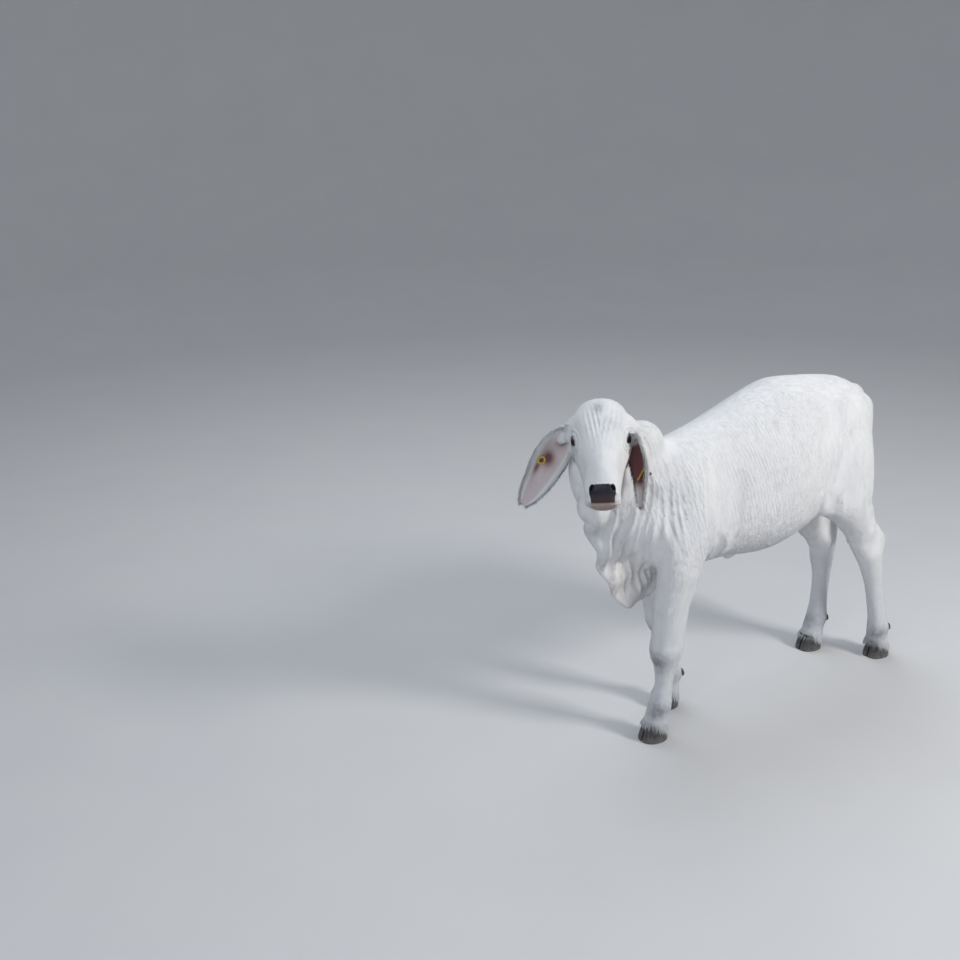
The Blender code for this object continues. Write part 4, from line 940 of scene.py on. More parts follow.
# %% [markdown]
# ## Eyelids
#
# A lid is a soft roll of skin round an almond opening. The almond is dropped onto the head's skin along
# the way that the eye looks, and a tube follows it. The opening and a round socket are then cut, so
# that a whole eyeball fits behind the lids with a hair's breadth to spare.


# %% Where the lids run
def eye_frame(sign):
    """Place the axes of one eye: along the lids, across them, and out."""
    look = Vector((EYE_LOOK[0], sign * EYE_LOOK[1], EYE_LOOK[2])).normalized()
    along = Vector((1, 0, 0)) - look * look.x
    along.normalize()
    across = look.cross(along) if sign > 0 else along.cross(look)
    slant = math.radians(LID_SLANT)
    long_way = along * math.cos(slant) - across * math.sin(slant)
    short_way = across * math.cos(slant) + along * math.sin(slant)
    centre = Vector((EYE_SPOT[0], sign * EYE_SPOT[1], EYE_SPOT[2]))
    return centre, long_way, short_way, look


def lid_offsets(points=LID_POINTS):
    """Give the almond outline of the lids as reaches along and across."""
    out = []
    for k in range(points):
        angle = 2 * math.pi * k / points
        height = math.sin(angle) * (1 - 0.3 * math.cos(angle) ** 2)
        out.append((LID_HALF_LENGTH * math.cos(angle), LID_HALF_HEIGHT * height))
    return out


def lid_line(sign, along_scale=1.12, across_scale=1.2):
    """Drop the almond outline onto the head's skin."""
    centre, long_way, short_way, look = eye_frame(sign)
    outward = HEAD_TURNING @ look
    line = []
    for along, across in lid_offsets():
        start = centre + long_way * along * along_scale + short_way * across * across_scale
        line.append(skin_tree.ray_cast(HEAD_PLACE @ start, outward)[0])
    return line, outward


skin_tree = tree_of(skin)
LID_LINES = {sign: lid_line(sign) for sign in (1, -1)}
print("Lid lines drawn on the skin, with", LID_POINTS, "points each")

# %% Raise the lids and hollow the sockets
LID_RISE = 0.0004
SOCKET_GAP = 0.0004
# The opening's cutter: reach from the eye's centre, spread.
OPENING = ((0.002, 0.95), (0.016, 1.0), (0.040, 1.3))

for sign, (line, outward) in LID_LINES.items():
    rings = []
    for k, point in enumerate(line):
        run = line[(k + 1) % len(line)] - line[k - 1]
        rings.append(circle(point + outward * LID_RISE, run, LID_RADIUS, 10, face=outward))
    work_sleeve("lids", rings, ends="round")
    centre, long_way, short_way, look = eye_frame(sign)
    rings = []
    for reach, spread in OPENING:
        ring = []
        for along, across in lid_offsets():
            spot = centre + long_way * along * spread + short_way * across * spread + look * reach
            ring.append(HEAD_PLACE @ spot)
        rings.append(ring)
    work_sleeve("opening", rings, "DIFFERENCE")
    bm = bmesh.new()
    spot = HEAD_PLACE @ Matrix.Translation(centre)
    radius = EYE_RADIUS + SOCKET_GAP
    bmesh.ops.create_uvsphere(bm, u_segments=48, v_segments=32, radius=radius, matrix=spot)
    boolean(skin, new_object("socket", bm), "DIFFERENCE")
print("Eyelids raised and sockets hollowed:", len(skin.data.polygons), "faces")


# %% [markdown]
# ## Lips, nostrils and mouth
#
# The mouth of a calf is a long, closed line from cheek to cheek. A fan of rays in the mouth's plane
# finds where that line lies on the skin. A roll above it and one below it make the lips, a thin wedge
# along it makes the groove, and a tilted ball cuts each nostril.

# %% Where the mouth runs
MOUTH_STEPS = 18
MOUTH_FAN = 17 / 3
MOUTH_START = 0.012


def mouth_line():
    """Find where the mouth's plane meets the skin, from corner round the front to corner."""
    start = Vector((MOUTH_CORNER[0], 0, MOUTH_CORNER[1]))
    forward = Vector((MOUTH_FRONT[0], 0, MOUTH_FRONT[1])) - start
    forward.normalize()
    normal = Vector((-forward.z, 0, forward.x))
    start += forward * MOUTH_START
    out = []
    for k in range(-MOUTH_STEPS, MOUTH_STEPS + 1):
        angle = math.radians(MOUTH_FAN * k)
        way = HEAD_TURNING @ (forward * math.cos(angle) + Vector((0, math.sin(angle), 0)))
        out.append((skin_tree.ray_cast(HEAD_PLACE @ start, way)[0], way))
    return out, HEAD_TURNING @ normal


MOUTH_LINE, mouth_normal = mouth_line()
print("The mouth's line has", len(MOUTH_LINE), "points")

# %% Roll the lips, cut the nostrils and the groove
GROOVE_OUT = 0.006
GROOVE_HALF = 0.003

for lift in (1, -1):
    rings = []
    for k, (point, way) in enumerate(MOUTH_LINE):
        after = MOUTH_LINE[min(k + 1, len(MOUTH_LINE) - 1)][0]
        run = after - MOUTH_LINE[max(k - 1, 0)][0]
        taper = 0.55 + 0.45 * math.sin(math.pi * (k + 0.5) / len(MOUTH_LINE))
        middle = point + mouth_normal * (lift * LIP_RADIUS * 0.9) - way * (LIP_RADIUS * 0.55)
        rings.append(circle(middle, run, LIP_RADIUS * taper, 12, face=mouth_normal))
    work_sleeve("lip", rings)
for sign in (1, -1):
    yaw = Matrix.Rotation(math.radians(sign * NOSTRIL_YAW), 4, "Z")
    turned = yaw @ Matrix.Rotation(math.radians(NOSTRIL_PITCH), 4, "Y")
    spot = Matrix.Translation((NOSTRIL[0], sign * NOSTRIL[1], NOSTRIL[2]))
    bm = bmesh.new()
    shape = HEAD_PLACE @ spot @ turned @ Matrix.Diagonal((*NOSTRIL_RADII, 1))
    bmesh.ops.create_uvsphere(bm, u_segments=24, v_segments=16, radius=1, matrix=shape)
    boolean(skin, new_object("nostril", bm), "DIFFERENCE")
rings = []
for point, way in MOUTH_LINE:
    out = point + way * GROOVE_OUT
    half = mouth_normal * GROOVE_HALF
    rings.append((point - way * MOUTH_DEPTH, out + half, out - half))
work_sleeve("groove", rings, "DIFFERENCE")
print("Lips, nostrils and mouth made:", len(skin.data.polygons), "faces")

# %% [markdown]
# ## Ears
#
# A Brahman's ears are long and hang down. Each is a leaf of skin, rolled into a tube at its root and
# opening into a shallow cup. So each is lofted from curled sections: the table gives how wide the leaf
# is and through what angle it curls, and both fade along the ear.

# %% Shapes of the ears
# Ears: centre lines in the head's axes from root to tip, and where each cup opens.
EARS = {
    "ear_right": (
        (-0.032, -0.052, -0.010),
        (-0.018, -0.087, -0.017),
        (0.004, -0.116, -0.049),
        (0.034, -0.149, -0.094),
        (0.070, -0.189, -0.142),
    ),
    "ear_left": (
        (-0.032, 0.054, -0.010),
        (-0.012, 0.087, -0.026),
        (0.016, 0.099, -0.058),
        (0.052, 0.095, -0.099),
        (0.092, 0.085, -0.143),
    ),
}
EAR_OPENING = {"ear_right": (0.87, -0.04, 0.49), "ear_left": (0.355, -0.833, 0.425)}
# Half width of each leaf and half the angle that it curls through, at even steps to the tip.
EAR_OUTLINE = {
    "ear_right": (0.026, 0.031, 0.035, 0.039, 0.041, 0.042, 0.042, 0.040, 0.037, 0.032, 0.027, 0.020,
                  0.007),
    "ear_left": (0.027, 0.035, 0.040, 0.044, 0.045, 0.045, 0.044, 0.040, 0.033, 0.026, 0.020, 0.014,
                 0.006),
}
EAR_CURL = {
    "ear_right": (150, 112, 86, 74, 68, 63, 58, 54, 50, 46, 42, 40, 38),
    "ear_left": (150, 125, 105, 94, 86, 80, 76, 73, 70, 68, 66, 64, 60),
}
EAR_THICKNESS = 0.0045
EAR_ACROSS = 25
EAR_STEPS = 6
print("Ears up to", 2 * max(EAR_OUTLINE["ear_left"]) * 1000, "mm wide")


# %% Cup the ears
def ear_sections(name):
    """Give the frames along an ear: centre, across, opening, half width and curl."""
    opening = HEAD_TURNING @ Vector(EAR_OPENING[name])
    centres = [HEAD_PLACE @ Vector(row) for row in smooth_rows(EARS[name], EAR_STEPS)]
    out = []
    for k, centre in enumerate(centres):
        share = k / (len(centres) - 1)
        run = centres[min(k + 1, len(centres) - 1)] - centres[max(k - 1, 0)]
        run.normalize()
        face = (opening - run * opening.dot(run)).normalized()
        across = run.cross(face)
        steps = np.linspace(0, 1, len(EAR_OUTLINE[name]))
        half = float(np.interp(share, steps, EAR_OUTLINE[name]))
        curl = math.radians(float(np.interp(share, steps, EAR_CURL[name])))
        out.append((centre, across, face, half, curl))
    return out


def ear_point(section, share, depth):
    """Read a point of the cup at a share across it and a depth behind its inner face."""
    centre, across, face, half, curl = section
    radius = half / curl
    angle = share * curl
    reach = radius + depth
    return centre + across * (reach * math.sin(angle)) + face * (radius - reach * math.cos(angle))


EAR_SECTIONS = {name: ear_sections(name) for name in EARS}
for name, sections in EAR_SECTIONS.items():
    rings = []
    for section in sections:
        shares = [-1 + 2 * k / (EAR_ACROSS - 1) for k in range(EAR_ACROSS)]
        inner = [ear_point(section, share, 0) for share in shares]
        outer = [ear_point(section, share, EAR_THICKNESS) for share in reversed(shares)]
        rings.append(inner + outer)
    work_sleeve(name, rings, ends="folded")
print("Ears joined:", len(skin.data.polygons), "faces")

# %% Hang the tail
rings = []
rows = smooth_rows(TAIL, 4)
for k, (x, z, radius) in enumerate(rows):
    after = rows[min(k + 1, len(rows) - 1)]
    before = rows[max(k - 1, 0)]
    run = Vector((after[0] - before[0], 0, after[1] - before[1]))
    rings.append(circle(Vector((x, 0, z)), run, radius, 24, face=(0, 1, 0)))
work_sleeve("tail", rings)
print("Tail joined:", len(skin.data.polygons), "faces")

# %% [markdown]
# ## Where hair ends and horn begins
#
# A cow walks on two horny claws, and the hide stops at a sloping line above them, the coronet. The
# hide is cut there by one slanted block under each foot, before the claws are made, so that none of
# it shows in the cleft between them.

# %% Trim the hide at the hooves
CORONET_HEIGHT = 0.040
CORONET_SLOPE = 0.34
TRIM_REACH = (0.08, 0.05, 0.05)
TRIM_GAP = 0.001
FEET = {leg: Vector((stance[-1][1], stance[-1][2], 0)) for leg, stance in STANCE.items()}


def coronet(foot, x):
    """Give the height of the coronet, which falls to the rear."""
    return CORONET_HEIGHT + CORONET_SLOPE * (foot.x - x)


for foot in FEET.values():
    rings = []
    for x in (foot.x - TRIM_REACH[0], foot.x + TRIM_REACH[0]):
        top = coronet(foot, x) - TRIM_GAP
        corners = ((-1, -TRIM_REACH[2]), (1, -TRIM_REACH[2]), (1, top), (-1, top))
        rings.append([Vector((x, foot.y + y * TRIM_REACH[1], z)) for y, z in corners])
    work_sleeve("trim", rings, "DIFFERENCE")
print("Hide trimmed over", len(FEET), "feet")

# %% [markdown]
# ## One skin, finest on the face
#
# A voxel remesh gives faces of one size everywhere. To get small faces on the head and the folded
# neck and larger ones on the body, space itself is swollen there before the remesh, as by a
# magnifying glass, and shrunk back afterwards. The joins between all these pieces are gone after it.

# %% Remesh under a magnifying glass
SKIN_GRAIN = 0.0046
# What is magnified: centre in the head's axes, radius, and how much.
HEAD_LENSES = (
    (EYE_SPOT, 0.030, 1.5),
    ((EYE_SPOT[0], -EYE_SPOT[1], EYE_SPOT[2]), 0.030, 1.5),
    ((0.150, 0.0, -0.030), 0.050, 1.3),
    ((0.030, 0.0, -0.030), 0.170, 1.9),
)
# The same for the folds of the neck and dewlap, in the body's axes.
NECK_LENS = ((-0.42, -0.02, 0.58), 0.20, 1.8)
# Each ear is magnified round its middle: radius and how much.
EAR_LENS = (0.085, 1.8)


def magnified(reach, radius, times):
    """Give how far from a lens's centre a point at some reach seems to be."""
    return reach + (times - 1) * radius * np.tanh(reach / radius)


def through_lens(points, centre, radius, times, back=False):
    """Move points as the lens does, or back again."""
    away = points - centre
    reach = np.linalg.norm(away, axis=1) + 1e-9
    if back:
        table = np.linspace(0, 5, 50001)
        seen = np.interp(reach, magnified(table, radius, times), table)
    else:
        seen = magnified(reach, radius, times)
    return centre + away * (seen / reach)[:, None]


lenses = [(np.array(NECK_LENS[0]), *NECK_LENS[1:])]
for sections in EAR_SECTIONS.values():
    lenses.append((np.array(sections[len(sections) // 2][0]), *EAR_LENS))
for spot, radius, times in HEAD_LENSES:
    lenses.append((np.array(HEAD_PLACE @ Vector(spot)), radius, times))
seen_lenses = []
for centre, radius, times in lenses:
    seen = np.array([centre])
    for row in seen_lenses:
        seen = through_lens(seen, *row)
    seen_lenses.append((seen[0], radius, times))
    set_points(skin.data, through_lens(mesh_points(skin.data), *seen_lenses[-1]))
voxel_remesh(skin, SKIN_GRAIN)
for row in reversed(seen_lenses):
    set_points(skin.data, through_lens(mesh_points(skin.data), *row, back=True))
relax(skin.data, 4)
print("One skin:", len(skin.data.polygons), "faces")

# %% [markdown]
# ## Where a point is on the calf
#
# Folds, markings and the lie of the hair all ask where a point is: how far along the face, how far
# out on an ear. These few measures are worked out once for all points of the skin. Shares run from
# 0 to 1 and change softly, as an artist's fading brush does.

# %% Measures on the skin
def soft(values, start, end):
    """Fade from 0 to 1 as the values go from a start to an end."""
    share = np.clip((values - start) / (end - start), 0, 1)
    return share * share * (3 - 2 * share)


def bell(points, centre, radii):
    """Give 1 at a centre, fading out over three radii."""
    return np.exp(-(((points - centre) / radii) ** 2).sum(1))


def in_head(points):
    """Read world points in the head's axes: along the face, to its left, up."""
    place = np.array(HEAD_PLACE.inverted())
    return points @ place[:3, :3].T + place[:3, 3]


def on_ears(points):
    """Find for each point its ear, place along it, place across it, side and distance."""
    rows, spots = [], []
    for number, sections in enumerate(EAR_SECTIONS.values()):
        for share in np.linspace(-1, 1, 33):
            for side, depth in ((1, 0), (0, EAR_THICKNESS)):
                line = [ear_point(section, share, depth) for section in sections]
                for k in range(len(line) - 1):
                    for part in (0, 0.25, 0.5, 0.75):
                        spots.append(line[k].lerp(line[k + 1], part))
                        rows.append((number, (k + part) / (len(sections) - 1), share, side))
    rows = np.array(rows)
    tree = mathutils.kdtree.KDTree(len(spots))
    for k, spot in enumerate(spots):
        tree.insert(spot, k)
    tree.balance()
    middle = np.array(HEAD_PLACE @ Vector((0, 0, -0.05)))
    near = np.linalg.norm(points - middle, axis=1) < 0.26
    found = np.zeros((len(points), 5))
    found[:, 4] = 1.0
    for k in np.flatnonzero(near):
        spot, number, distance = tree.find(points[k])
        found[k] = (*rows[number], distance)
    return found


points = mesh_points(skin.data)
normals = vertex_normals(skin.data)
head = in_head(points)
ears = on_ears(points)
ear_share = 1 - soft(ears[:, 4], 0.004, 0.009)
ear_share *= soft(ears[:, 1], 0.04, 0.14)
head_share = 1 - soft(np.linalg.norm(head - (0.03, 0, -0.035), axis=1), 0.115, 0.160)
head_share *= soft(head[:, 0], -0.10, -0.05)
print("Points on the head:", int((head_share > 0.5).sum()), "and on the ears:",
      int((ear_share > 0.5).sum()))

# %% [markdown]
# ## Folds of loose hide
#
# A Brahman has far more hide than it needs. It hangs in upright folds on the neck, gathers in deep
# pleats on the dewlap and creases behind the elbow and before the stifle. Each fold is a curve drawn
# on the calf's side. The skin rises along it as a soft ridge with a trough on either side.

# %% Curves of the folds
# Each fold: height, half width, and the x and z of its curve from the top down.
PLEAT_LINES = (
    (0.0080, 0.0080,
     ((-0.520, 0.680), (-0.506, 0.620), (-0.494, 0.566), (-0.495, 0.525), (-0.489, 0.455))),
    (0.0080, 0.0080,
     ((-0.455, 0.690), (-0.458, 0.616), (-0.463, 0.560), (-0.463, 0.509), (-0.471, 0.430))),
    (0.0060, 0.0075,
     ((-0.434, 0.640), (-0.446, 0.576), (-0.433, 0.512), (-0.412, 0.440), (-0.398, 0.385))),
    (0.0028, 0.0042, ((-0.440, 0.500), (-0.447, 0.460), (-0.448, 0.420), (-0.446, 0.385))),
    (0.0028, 0.0042, ((-0.424, 0.500), (-0.428, 0.455), (-0.426, 0.410), (-0.422, 0.365))),
    (0.0026, 0.0042, ((-0.410, 0.520), (-0.392, 0.470), (-0.382, 0.420), (-0.376, 0.365))),
    (0.0026, 0.0042, ((-0.392, 0.520), (-0.374, 0.470), (-0.360, 0.420), (-0.352, 0.375))),
    (0.0022, 0.0042, ((-0.376, 0.500), (-0.356, 0.455), (-0.338, 0.405))),
)
NECK_LINES = (
    (0.0032, 0.0050,
     ((-0.420, 0.730), (-0.432, 0.683), (-0.438, 0.631), (-0.441, 0.590), (-0.438, 0.551))),
    (0.0030, 0.0050,
     ((-0.398, 0.745), (-0.408, 0.700), (-0.418, 0.640), (-0.425, 0.585), (-0.418, 0.530))),
    (0.0030, 0.0048,
     ((-0.380, 0.740), (-0.392, 0.690), (-0.403, 0.640), (-0.409, 0.587), (-0.400, 0.520))),
    (0.0026, 0.0048, ((-0.362, 0.725), (-0.374, 0.670), (-0.384, 0.610), (-0.383, 0.550))),
    (0.0022, 0.0050, ((-0.342, 0.715), (-0.352, 0.660), (-0.360, 0.600), (-0.355, 0.540))),
    (0.0028, 0.0050, ((-0.444, 0.760), (-0.456, 0.715), (-0.466, 0.672), (-0.470, 0.640))),
    (0.0026, 0.0048, ((-0.468, 0.775), (-0.480, 0.735), (-0.492, 0.695), (-0.498, 0.660))),
)
CREASE_LINES = (
    (-0.0026, 0.0110, ((0.150, 0.640), (0.172, 0.585), (0.186, 0.540), (0.180, 0.500))),
    (0.0024, 0.0110, ((0.132, 0.600), (0.152, 0.550), (0.162, 0.505))),
    (-0.0030, 0.0100, ((-0.225, 0.560), (-0.208, 0.520), (-0.200, 0.480), (-0.205, 0.450))),
    (0.0024, 0.0100, ((-0.200, 0.560), (-0.185, 0.515), (-0.180, 0.470))),
    (-0.0020, 0.0110, ((0.300, 0.560), (0.330, 0.500), (0.352, 0.455), (0.368, 0.415))),
    (-0.0020, 0.0080, ((-0.375, 0.620), (-0.362, 0.570), (-0.350, 0.520), (-0.345, 0.480))),
)
print("Folds drawn by hand:", len(PLEAT_LINES + NECK_LINES + CREASE_LINES))

# %% Height of a fold at any point
# The forearm hangs in front of the folds from the first x to the second, and has none itself.
FOREARM_FOLDS = (-0.405, -0.24)
FOLD_MARGIN = 0.03


def curve_distance(spots, line):
    """Give each spot's distance from a curve and the share along it, in the side view."""
    curve = np.array(smooth_rows(line, 5))
    starts, steps = curve[:-1], np.diff(curve, axis=0)
    best = np.full(len(spots), 9.0)
    share = np.zeros(len(spots))
    for k, (start, step) in enumerate(zip(starts, steps)):
        t = np.clip(((spots - start) @ step) / (step @ step), 0, 1)
        reach = np.linalg.norm(spots - start - t[:, None] * step, axis=1)
        closer = reach < best
        best[closer] = reach[closer]
        share[closer] = (k + t[closer]) / len(steps)
    return best, share


def fold_heights(points, normals, lines):
    """Add up the ridges and troughs of a set of folds, on both of the calf's sides."""
    total = np.zeros(len(points))
    facing = soft(np.abs(normals[:, 1]), 0.10, 0.45)
    low = 1 - soft(points[:, 2], 0.50, 0.56)
    forearm = (points[:, 0] > FOREARM_FOLDS[0]) & (points[:, 0] < FOREARM_FOLDS[1])
    facing *= 1 - low * soft(np.abs(points[:, 1]), 0.030, 0.045) * forearm
    for height, width, line in lines:
        xs = [spot[0] for spot in line]
        zs = [spot[1] for spot in line]
        near = np.flatnonzero(
            (points[:, 0] > min(xs) - FOLD_MARGIN) & (points[:, 0] < max(xs) + FOLD_MARGIN)
            & (points[:, 2] > min(zs) - FOLD_MARGIN) & (points[:, 2] < max(zs) + FOLD_MARGIN))
        reach, share = curve_distance(points[near][:, (0, 2)], line)
        ridge = np.exp(-(reach / width) ** 2) - 0.45 * np.exp(-((reach - 2 * width) / width) ** 2)
        ends = soft(share, 0.0, 0.22) * (1 - soft(share, 0.72, 1.0))
        total[near] += height * ridge * ends * facing[near]
    return total


heights = fold_heights(points, normals, PLEAT_LINES + NECK_LINES + CREASE_LINES)
print("The largest fold rises by", round(float(heights.max()) * 1000, 1), "mm")

# %% Thin folds between the large ones
THIN_FOLDS = 19
THIN_FOLDS_FROM = -0.462
THIN_FOLDS_REACH = 0.190
THIN_FOLDS_TOP = 0.765
FOLD_SEED = 7


def thin_folds():
    """Scatter irregular thin folds over the neck, brisket and shoulder."""
    chance = np.random.default_rng(FOLD_SEED)
    lines = []
    for k in range(THIN_FOLDS):
        x = THIN_FOLDS_FROM + THIN_FOLDS_REACH * (k + chance.uniform(0.2, 0.8)) / THIN_FOLDS
        top = THIN_FOLDS_TOP + chance.uniform(-0.03, 0.01)
        length = chance.uniform(0.10, 0.20)
        bend = chance.uniform(-0.014, 0.006)
        slant = chance.uniform(-0.12, -0.02)
        line = []
        for share in (0, 0.33, 0.66, 1):
            sway = bend * math.sin(math.pi * share) + chance.uniform(-0.002, 0.002)
            line.append((x + slant * length * share + sway, top - length * share))
        lines.append((chance.uniform(0.0011, 0.0019), chance.uniform(0.0030, 0.0040), line))
    return lines


heights += fold_heights(points, normals, thin_folds())
heights *= 1 - soft(head_share, 0.2, 0.7)
print("Thin folds:", THIN_FOLDS, "on each side")

# %% [markdown]
# ## Bones and tendons
#
# Under a young animal's skin the brow, the cheek bone, the knee and the cords behind each cannon bone
# all show. They are soft rises and hollows again, now fine enough for the remeshed skin, and written
# in the head's axes or beside each leg's own line.

# %% Tables of the small forms
# Small forms in the head's axes: along, out, up, three radii, height. Both sides get each.
FACE_FORMS = (
    (-0.012, 0.042, 0.034, 0.024, 0.016, 0.014, 0.0042),
    (0.034, 0.050, -0.010, 0.024, 0.018, 0.010, -0.0032),
    (0.026, 0.050, -0.030, 0.028, 0.018, 0.010, 0.0022),
    (-0.025, 0.066, -0.062, 0.034, 0.020, 0.030, 0.0028),
    (0.075, 0.036, -0.002, 0.034, 0.012, 0.014, -0.0030),
    (0.090, 0.000, 0.034, 0.050, 0.014, 0.014, 0.0018),
    (0.062, 0.046, -0.055, 0.030, 0.016, 0.022, -0.0034),
    (0.138, 0.040, -0.020, 0.018, 0.012, 0.016, 0.0022),
    (0.160, 0.014, 0.002, 0.010, 0.008, 0.010, 0.0010),
    (0.016, 0.000, 0.050, 0.020, 0.024, 0.020, -0.0016),
)
# On the legs: which, height, then x and y from the limb's axis, three radii, height off the skin.
# One that stands off to a side is on both sides of the leg.
LEG_FORMS = (
    ("fore", 0.262, -0.040, 0.000, 0.020, 0.022, 0.018, 0.0030),
    ("fore", 0.228, -0.036, 0.000, 0.018, 0.020, 0.012, 0.0026),
    ("fore", 0.245, -0.010, 0.034, 0.020, 0.014, 0.020, 0.0020),
    ("fore", 0.160, 0.006, 0.022, 0.006, 0.012, 0.060, -0.0026),
    ("fore", 0.092, 0.010, 0.026, 0.016, 0.012, 0.016, 0.0024),
    ("hind", 0.378, 0.058, 0.000, 0.018, 0.020, 0.022, 0.0040),
    ("hind", 0.400, 0.020, 0.030, 0.016, 0.012, 0.050, -0.0034),
    ("hind", 0.340, 0.000, 0.030, 0.022, 0.014, 0.022, 0.0022),
    ("hind", 0.190, 0.008, 0.020, 0.006, 0.012, 0.070, -0.0026),
    ("hind", 0.092, 0.010, 0.026, 0.016, 0.012, 0.016, 0.0024),
)
print("Small forms:", len(FACE_FORMS), "on the face and", len(LEG_FORMS), "on the legs")

# %% Raise the small forms
# Wrinkles round the eye: how many lid sizes out, height.
EYE_WRINKLES = ((1.55, 0.0011), (1.95, -0.0010), (2.35, 0.0009), (2.75, -0.0007))
WRINKLE_WIDTH = 0.17

for along, out, up, ra, ro, ru, height in FACE_FORMS:
    for sign in (1, -1) if out else (1,):
        heights += height * bell(head, (along, sign * out, up), (ra, ro, ru)) * (1 - ear_share)
for kind, z, dx, dy, rx, ry, rz, height in LEG_FORMS:
    for sign in (1, -1) if dy else (1,):
        for leg, stance in STANCE.items():
            if leg.startswith(kind):
                x, y = limb_axis(stance, z)
                heights += height * bell(points, (x + dx, y + sign * dy, z), (rx, ry, rz))
for sign in (1, -1):
    centre, long_way, short_way, look = eye_frame(sign)
    away = head - np.array(centre)
    reach = np.hypot(away @ np.array(long_way) / LID_HALF_LENGTH,
                     away @ np.array(short_way) / LID_HALF_HEIGHT)
    beside = (away @ np.array(look) > 0) * (1 - ear_share)
    for ring, height in EYE_WRINKLES:
        heights += height * np.exp(-((reach - ring) / WRINKLE_WIDTH) ** 2) * beside
print("Bones, tendons and eye wrinkles added")

# %% Forehead lines and the frill of the navel
FOREHEAD_PERIOD = 0.0105
FOREHEAD_DEPTH = 0.0006
FOREHEAD = ((-0.005, 0, 0.052), (0.045, 0.034, 0.030))
NAVEL_FRILL = 0.007

wave = np.cos(2 * math.pi * (np.abs(head[:, 1]) + 0.15 * head[:, 0]) / FOREHEAD_PERIOD)
heights += FOREHEAD_DEPTH * wave * bell(head, *FOREHEAD) * (1 - ear_share)
frill = 0.5 + 0.5 * np.sin(points[:, 0] * 150 + 1.5 * np.sin(points[:, 0] * 37))
belly_line = np.exp(-(points[:, 1] / 0.010) ** 2) * soft(-normals[:, 2], 0.3, 0.8)
belly_line *= soft(points[:, 0], -0.16, -0.10) * (1 - soft(points[:, 0], 0.02, 0.10))
heights += NAVEL_FRILL * frill * belly_line
set_points(skin.data, points + normals * heights[:, None])
relax(skin.data, 1)
print("Forms raised, the largest by", round(float(heights.max()) * 1000, 1), "mm")

# %% [markdown]
# ## Markings
#
# Each marking is a number from 0 to 1 at every point of the skin, laid down from the measures above.
# The first are the nose pad, the brown lip, the chin, the rims of the eyes and the inside of the ears.

# %% Masks of the nose and mouth
NOSE_BACK = 0.143
# The nose pad's outline from the middle of its top down: half width, height.
NOSE_OUTLINE = ((0, 0.008), (0.014, 0.007), (0.022, 0.003), (0.029, -0.005), (0.030, -0.014),
                (0.027, -0.024), (0.0205, -0.050))
NOSE_EDGE = 0.001
LIP_BAND = 0.0220
CHIN = ((0.168, 0.0, -0.054), (0.030, 0.030, 0.026))

points = mesh_points(skin.data)
normals = vertex_normals(skin.data)
head = in_head(points)
masks = {}
mouth_way = np.array((MOUTH_FRONT[0] - MOUTH_CORNER[0], MOUTH_FRONT[1] - MOUTH_CORNER[1]))
mouth_way /= np.linalg.norm(mouth_way)
over_mouth = ((head[:, 2] - MOUTH_CORNER[1]) * mouth_way[0]
              - (head[:, 0] - MOUTH_CORNER[0]) * mouth_way[1])
outline = np.array(NOSE_OUTLINE)[::-1]
pad_width = np.interp(head[:, 2], outline[1:, 1], outline[1:, 0])
pad = soft(pad_width - np.abs(head[:, 1]), -NOSE_EDGE, NOSE_EDGE)
pad *= soft(head[:, 0], NOSE_BACK - NOSE_EDGE, NOSE_BACK + NOSE_EDGE)
pad *= soft(outline[-1, 1] - head[:, 2], -NOSE_EDGE, NOSE_EDGE)
pad *= soft(over_mouth, 0.0, NOSE_EDGE)
lip_rise = over_mouth + 0.15 * np.abs(head[:, 1])
lip = pad * (1 - soft(lip_rise, LIP_BAND - 0.008, LIP_BAND + 0.006))
masks["lip"] = pad
masks["nose"] = pad * (1 - 0.85 * lip)
masks["chin"] = soft(bell(head, *CHIN), 0.03, 0.45) * (1 - pad) * (1 - soft(over_mouth, 0.0, 0.0025))
print("Nose pad on", int((masks["nose"] > 0.5).sum()), "points")

# %% Masks of the eyes' rims and the ears
RIM_REACH = (0.0014, 0.0032)
RIM_INSIDE = 0.0125

rim = np.zeros(len(points))
for line, _ in LID_LINES.values():
    middle = np.mean([tuple(spot) for spot in line], axis=0)
    near = np.flatnonzero(np.linalg.norm(points - middle, axis=1) < 0.04)
    spots = np.array([tuple(spot) for spot in line])
    reach = np.linalg.norm(points[near][:, None] - spots[None], axis=2).min(1)
    inside = np.linalg.norm(points[near] - middle, axis=1) < RIM_INSIDE
    rim[near] = np.maximum(1 - soft(reach, *RIM_REACH), inside)
masks["rim"] = rim
along, across, inner = ears[:, 1], ears[:, 2], ears[:, 3]
inner = inner * ear_share
right = (ears[:, 0] == 0) * inner
left = (ears[:, 0] == 1) * inner
maroon_and_shade = right * np.exp(-((along - 0.54 + 0.05 * across) / 0.085) ** 2 - ((across - 0.1) / 0.40) ** 2)
maroon_and_shade += 0.80 * right * np.exp(-((along - 0.66) / 0.07) ** 2 - ((across - 0.5) / 0.18) ** 2)
# Painted shade at the opening of the right ear's canal, in maroon.
maroon_and_shade += 1.0 * right * np.exp(-((along - 0.27) / 0.10) ** 2 - ((across + 0.05) / 0.35) ** 2)
maroon_and_shade += left * soft(along, 0.20, 0.36) * (1 - soft(along, 0.72, 0.86)) * soft(across, -0.30, 0.05)
masks["ear_maroon_and_shade"] = np.clip(1.1 * maroon_and_shade, 0, 0.95)
pale = inner * soft(along, 0.22, 0.40) * (1 - soft(np.abs(across), 0.55, 0.80))
masks["ear_pale"] = np.clip(pale, 0, 1) * 0.60
print("Rims and ears marked on", int((rim > 0.5).sum() + (inner > 0.5).sum()), "points")
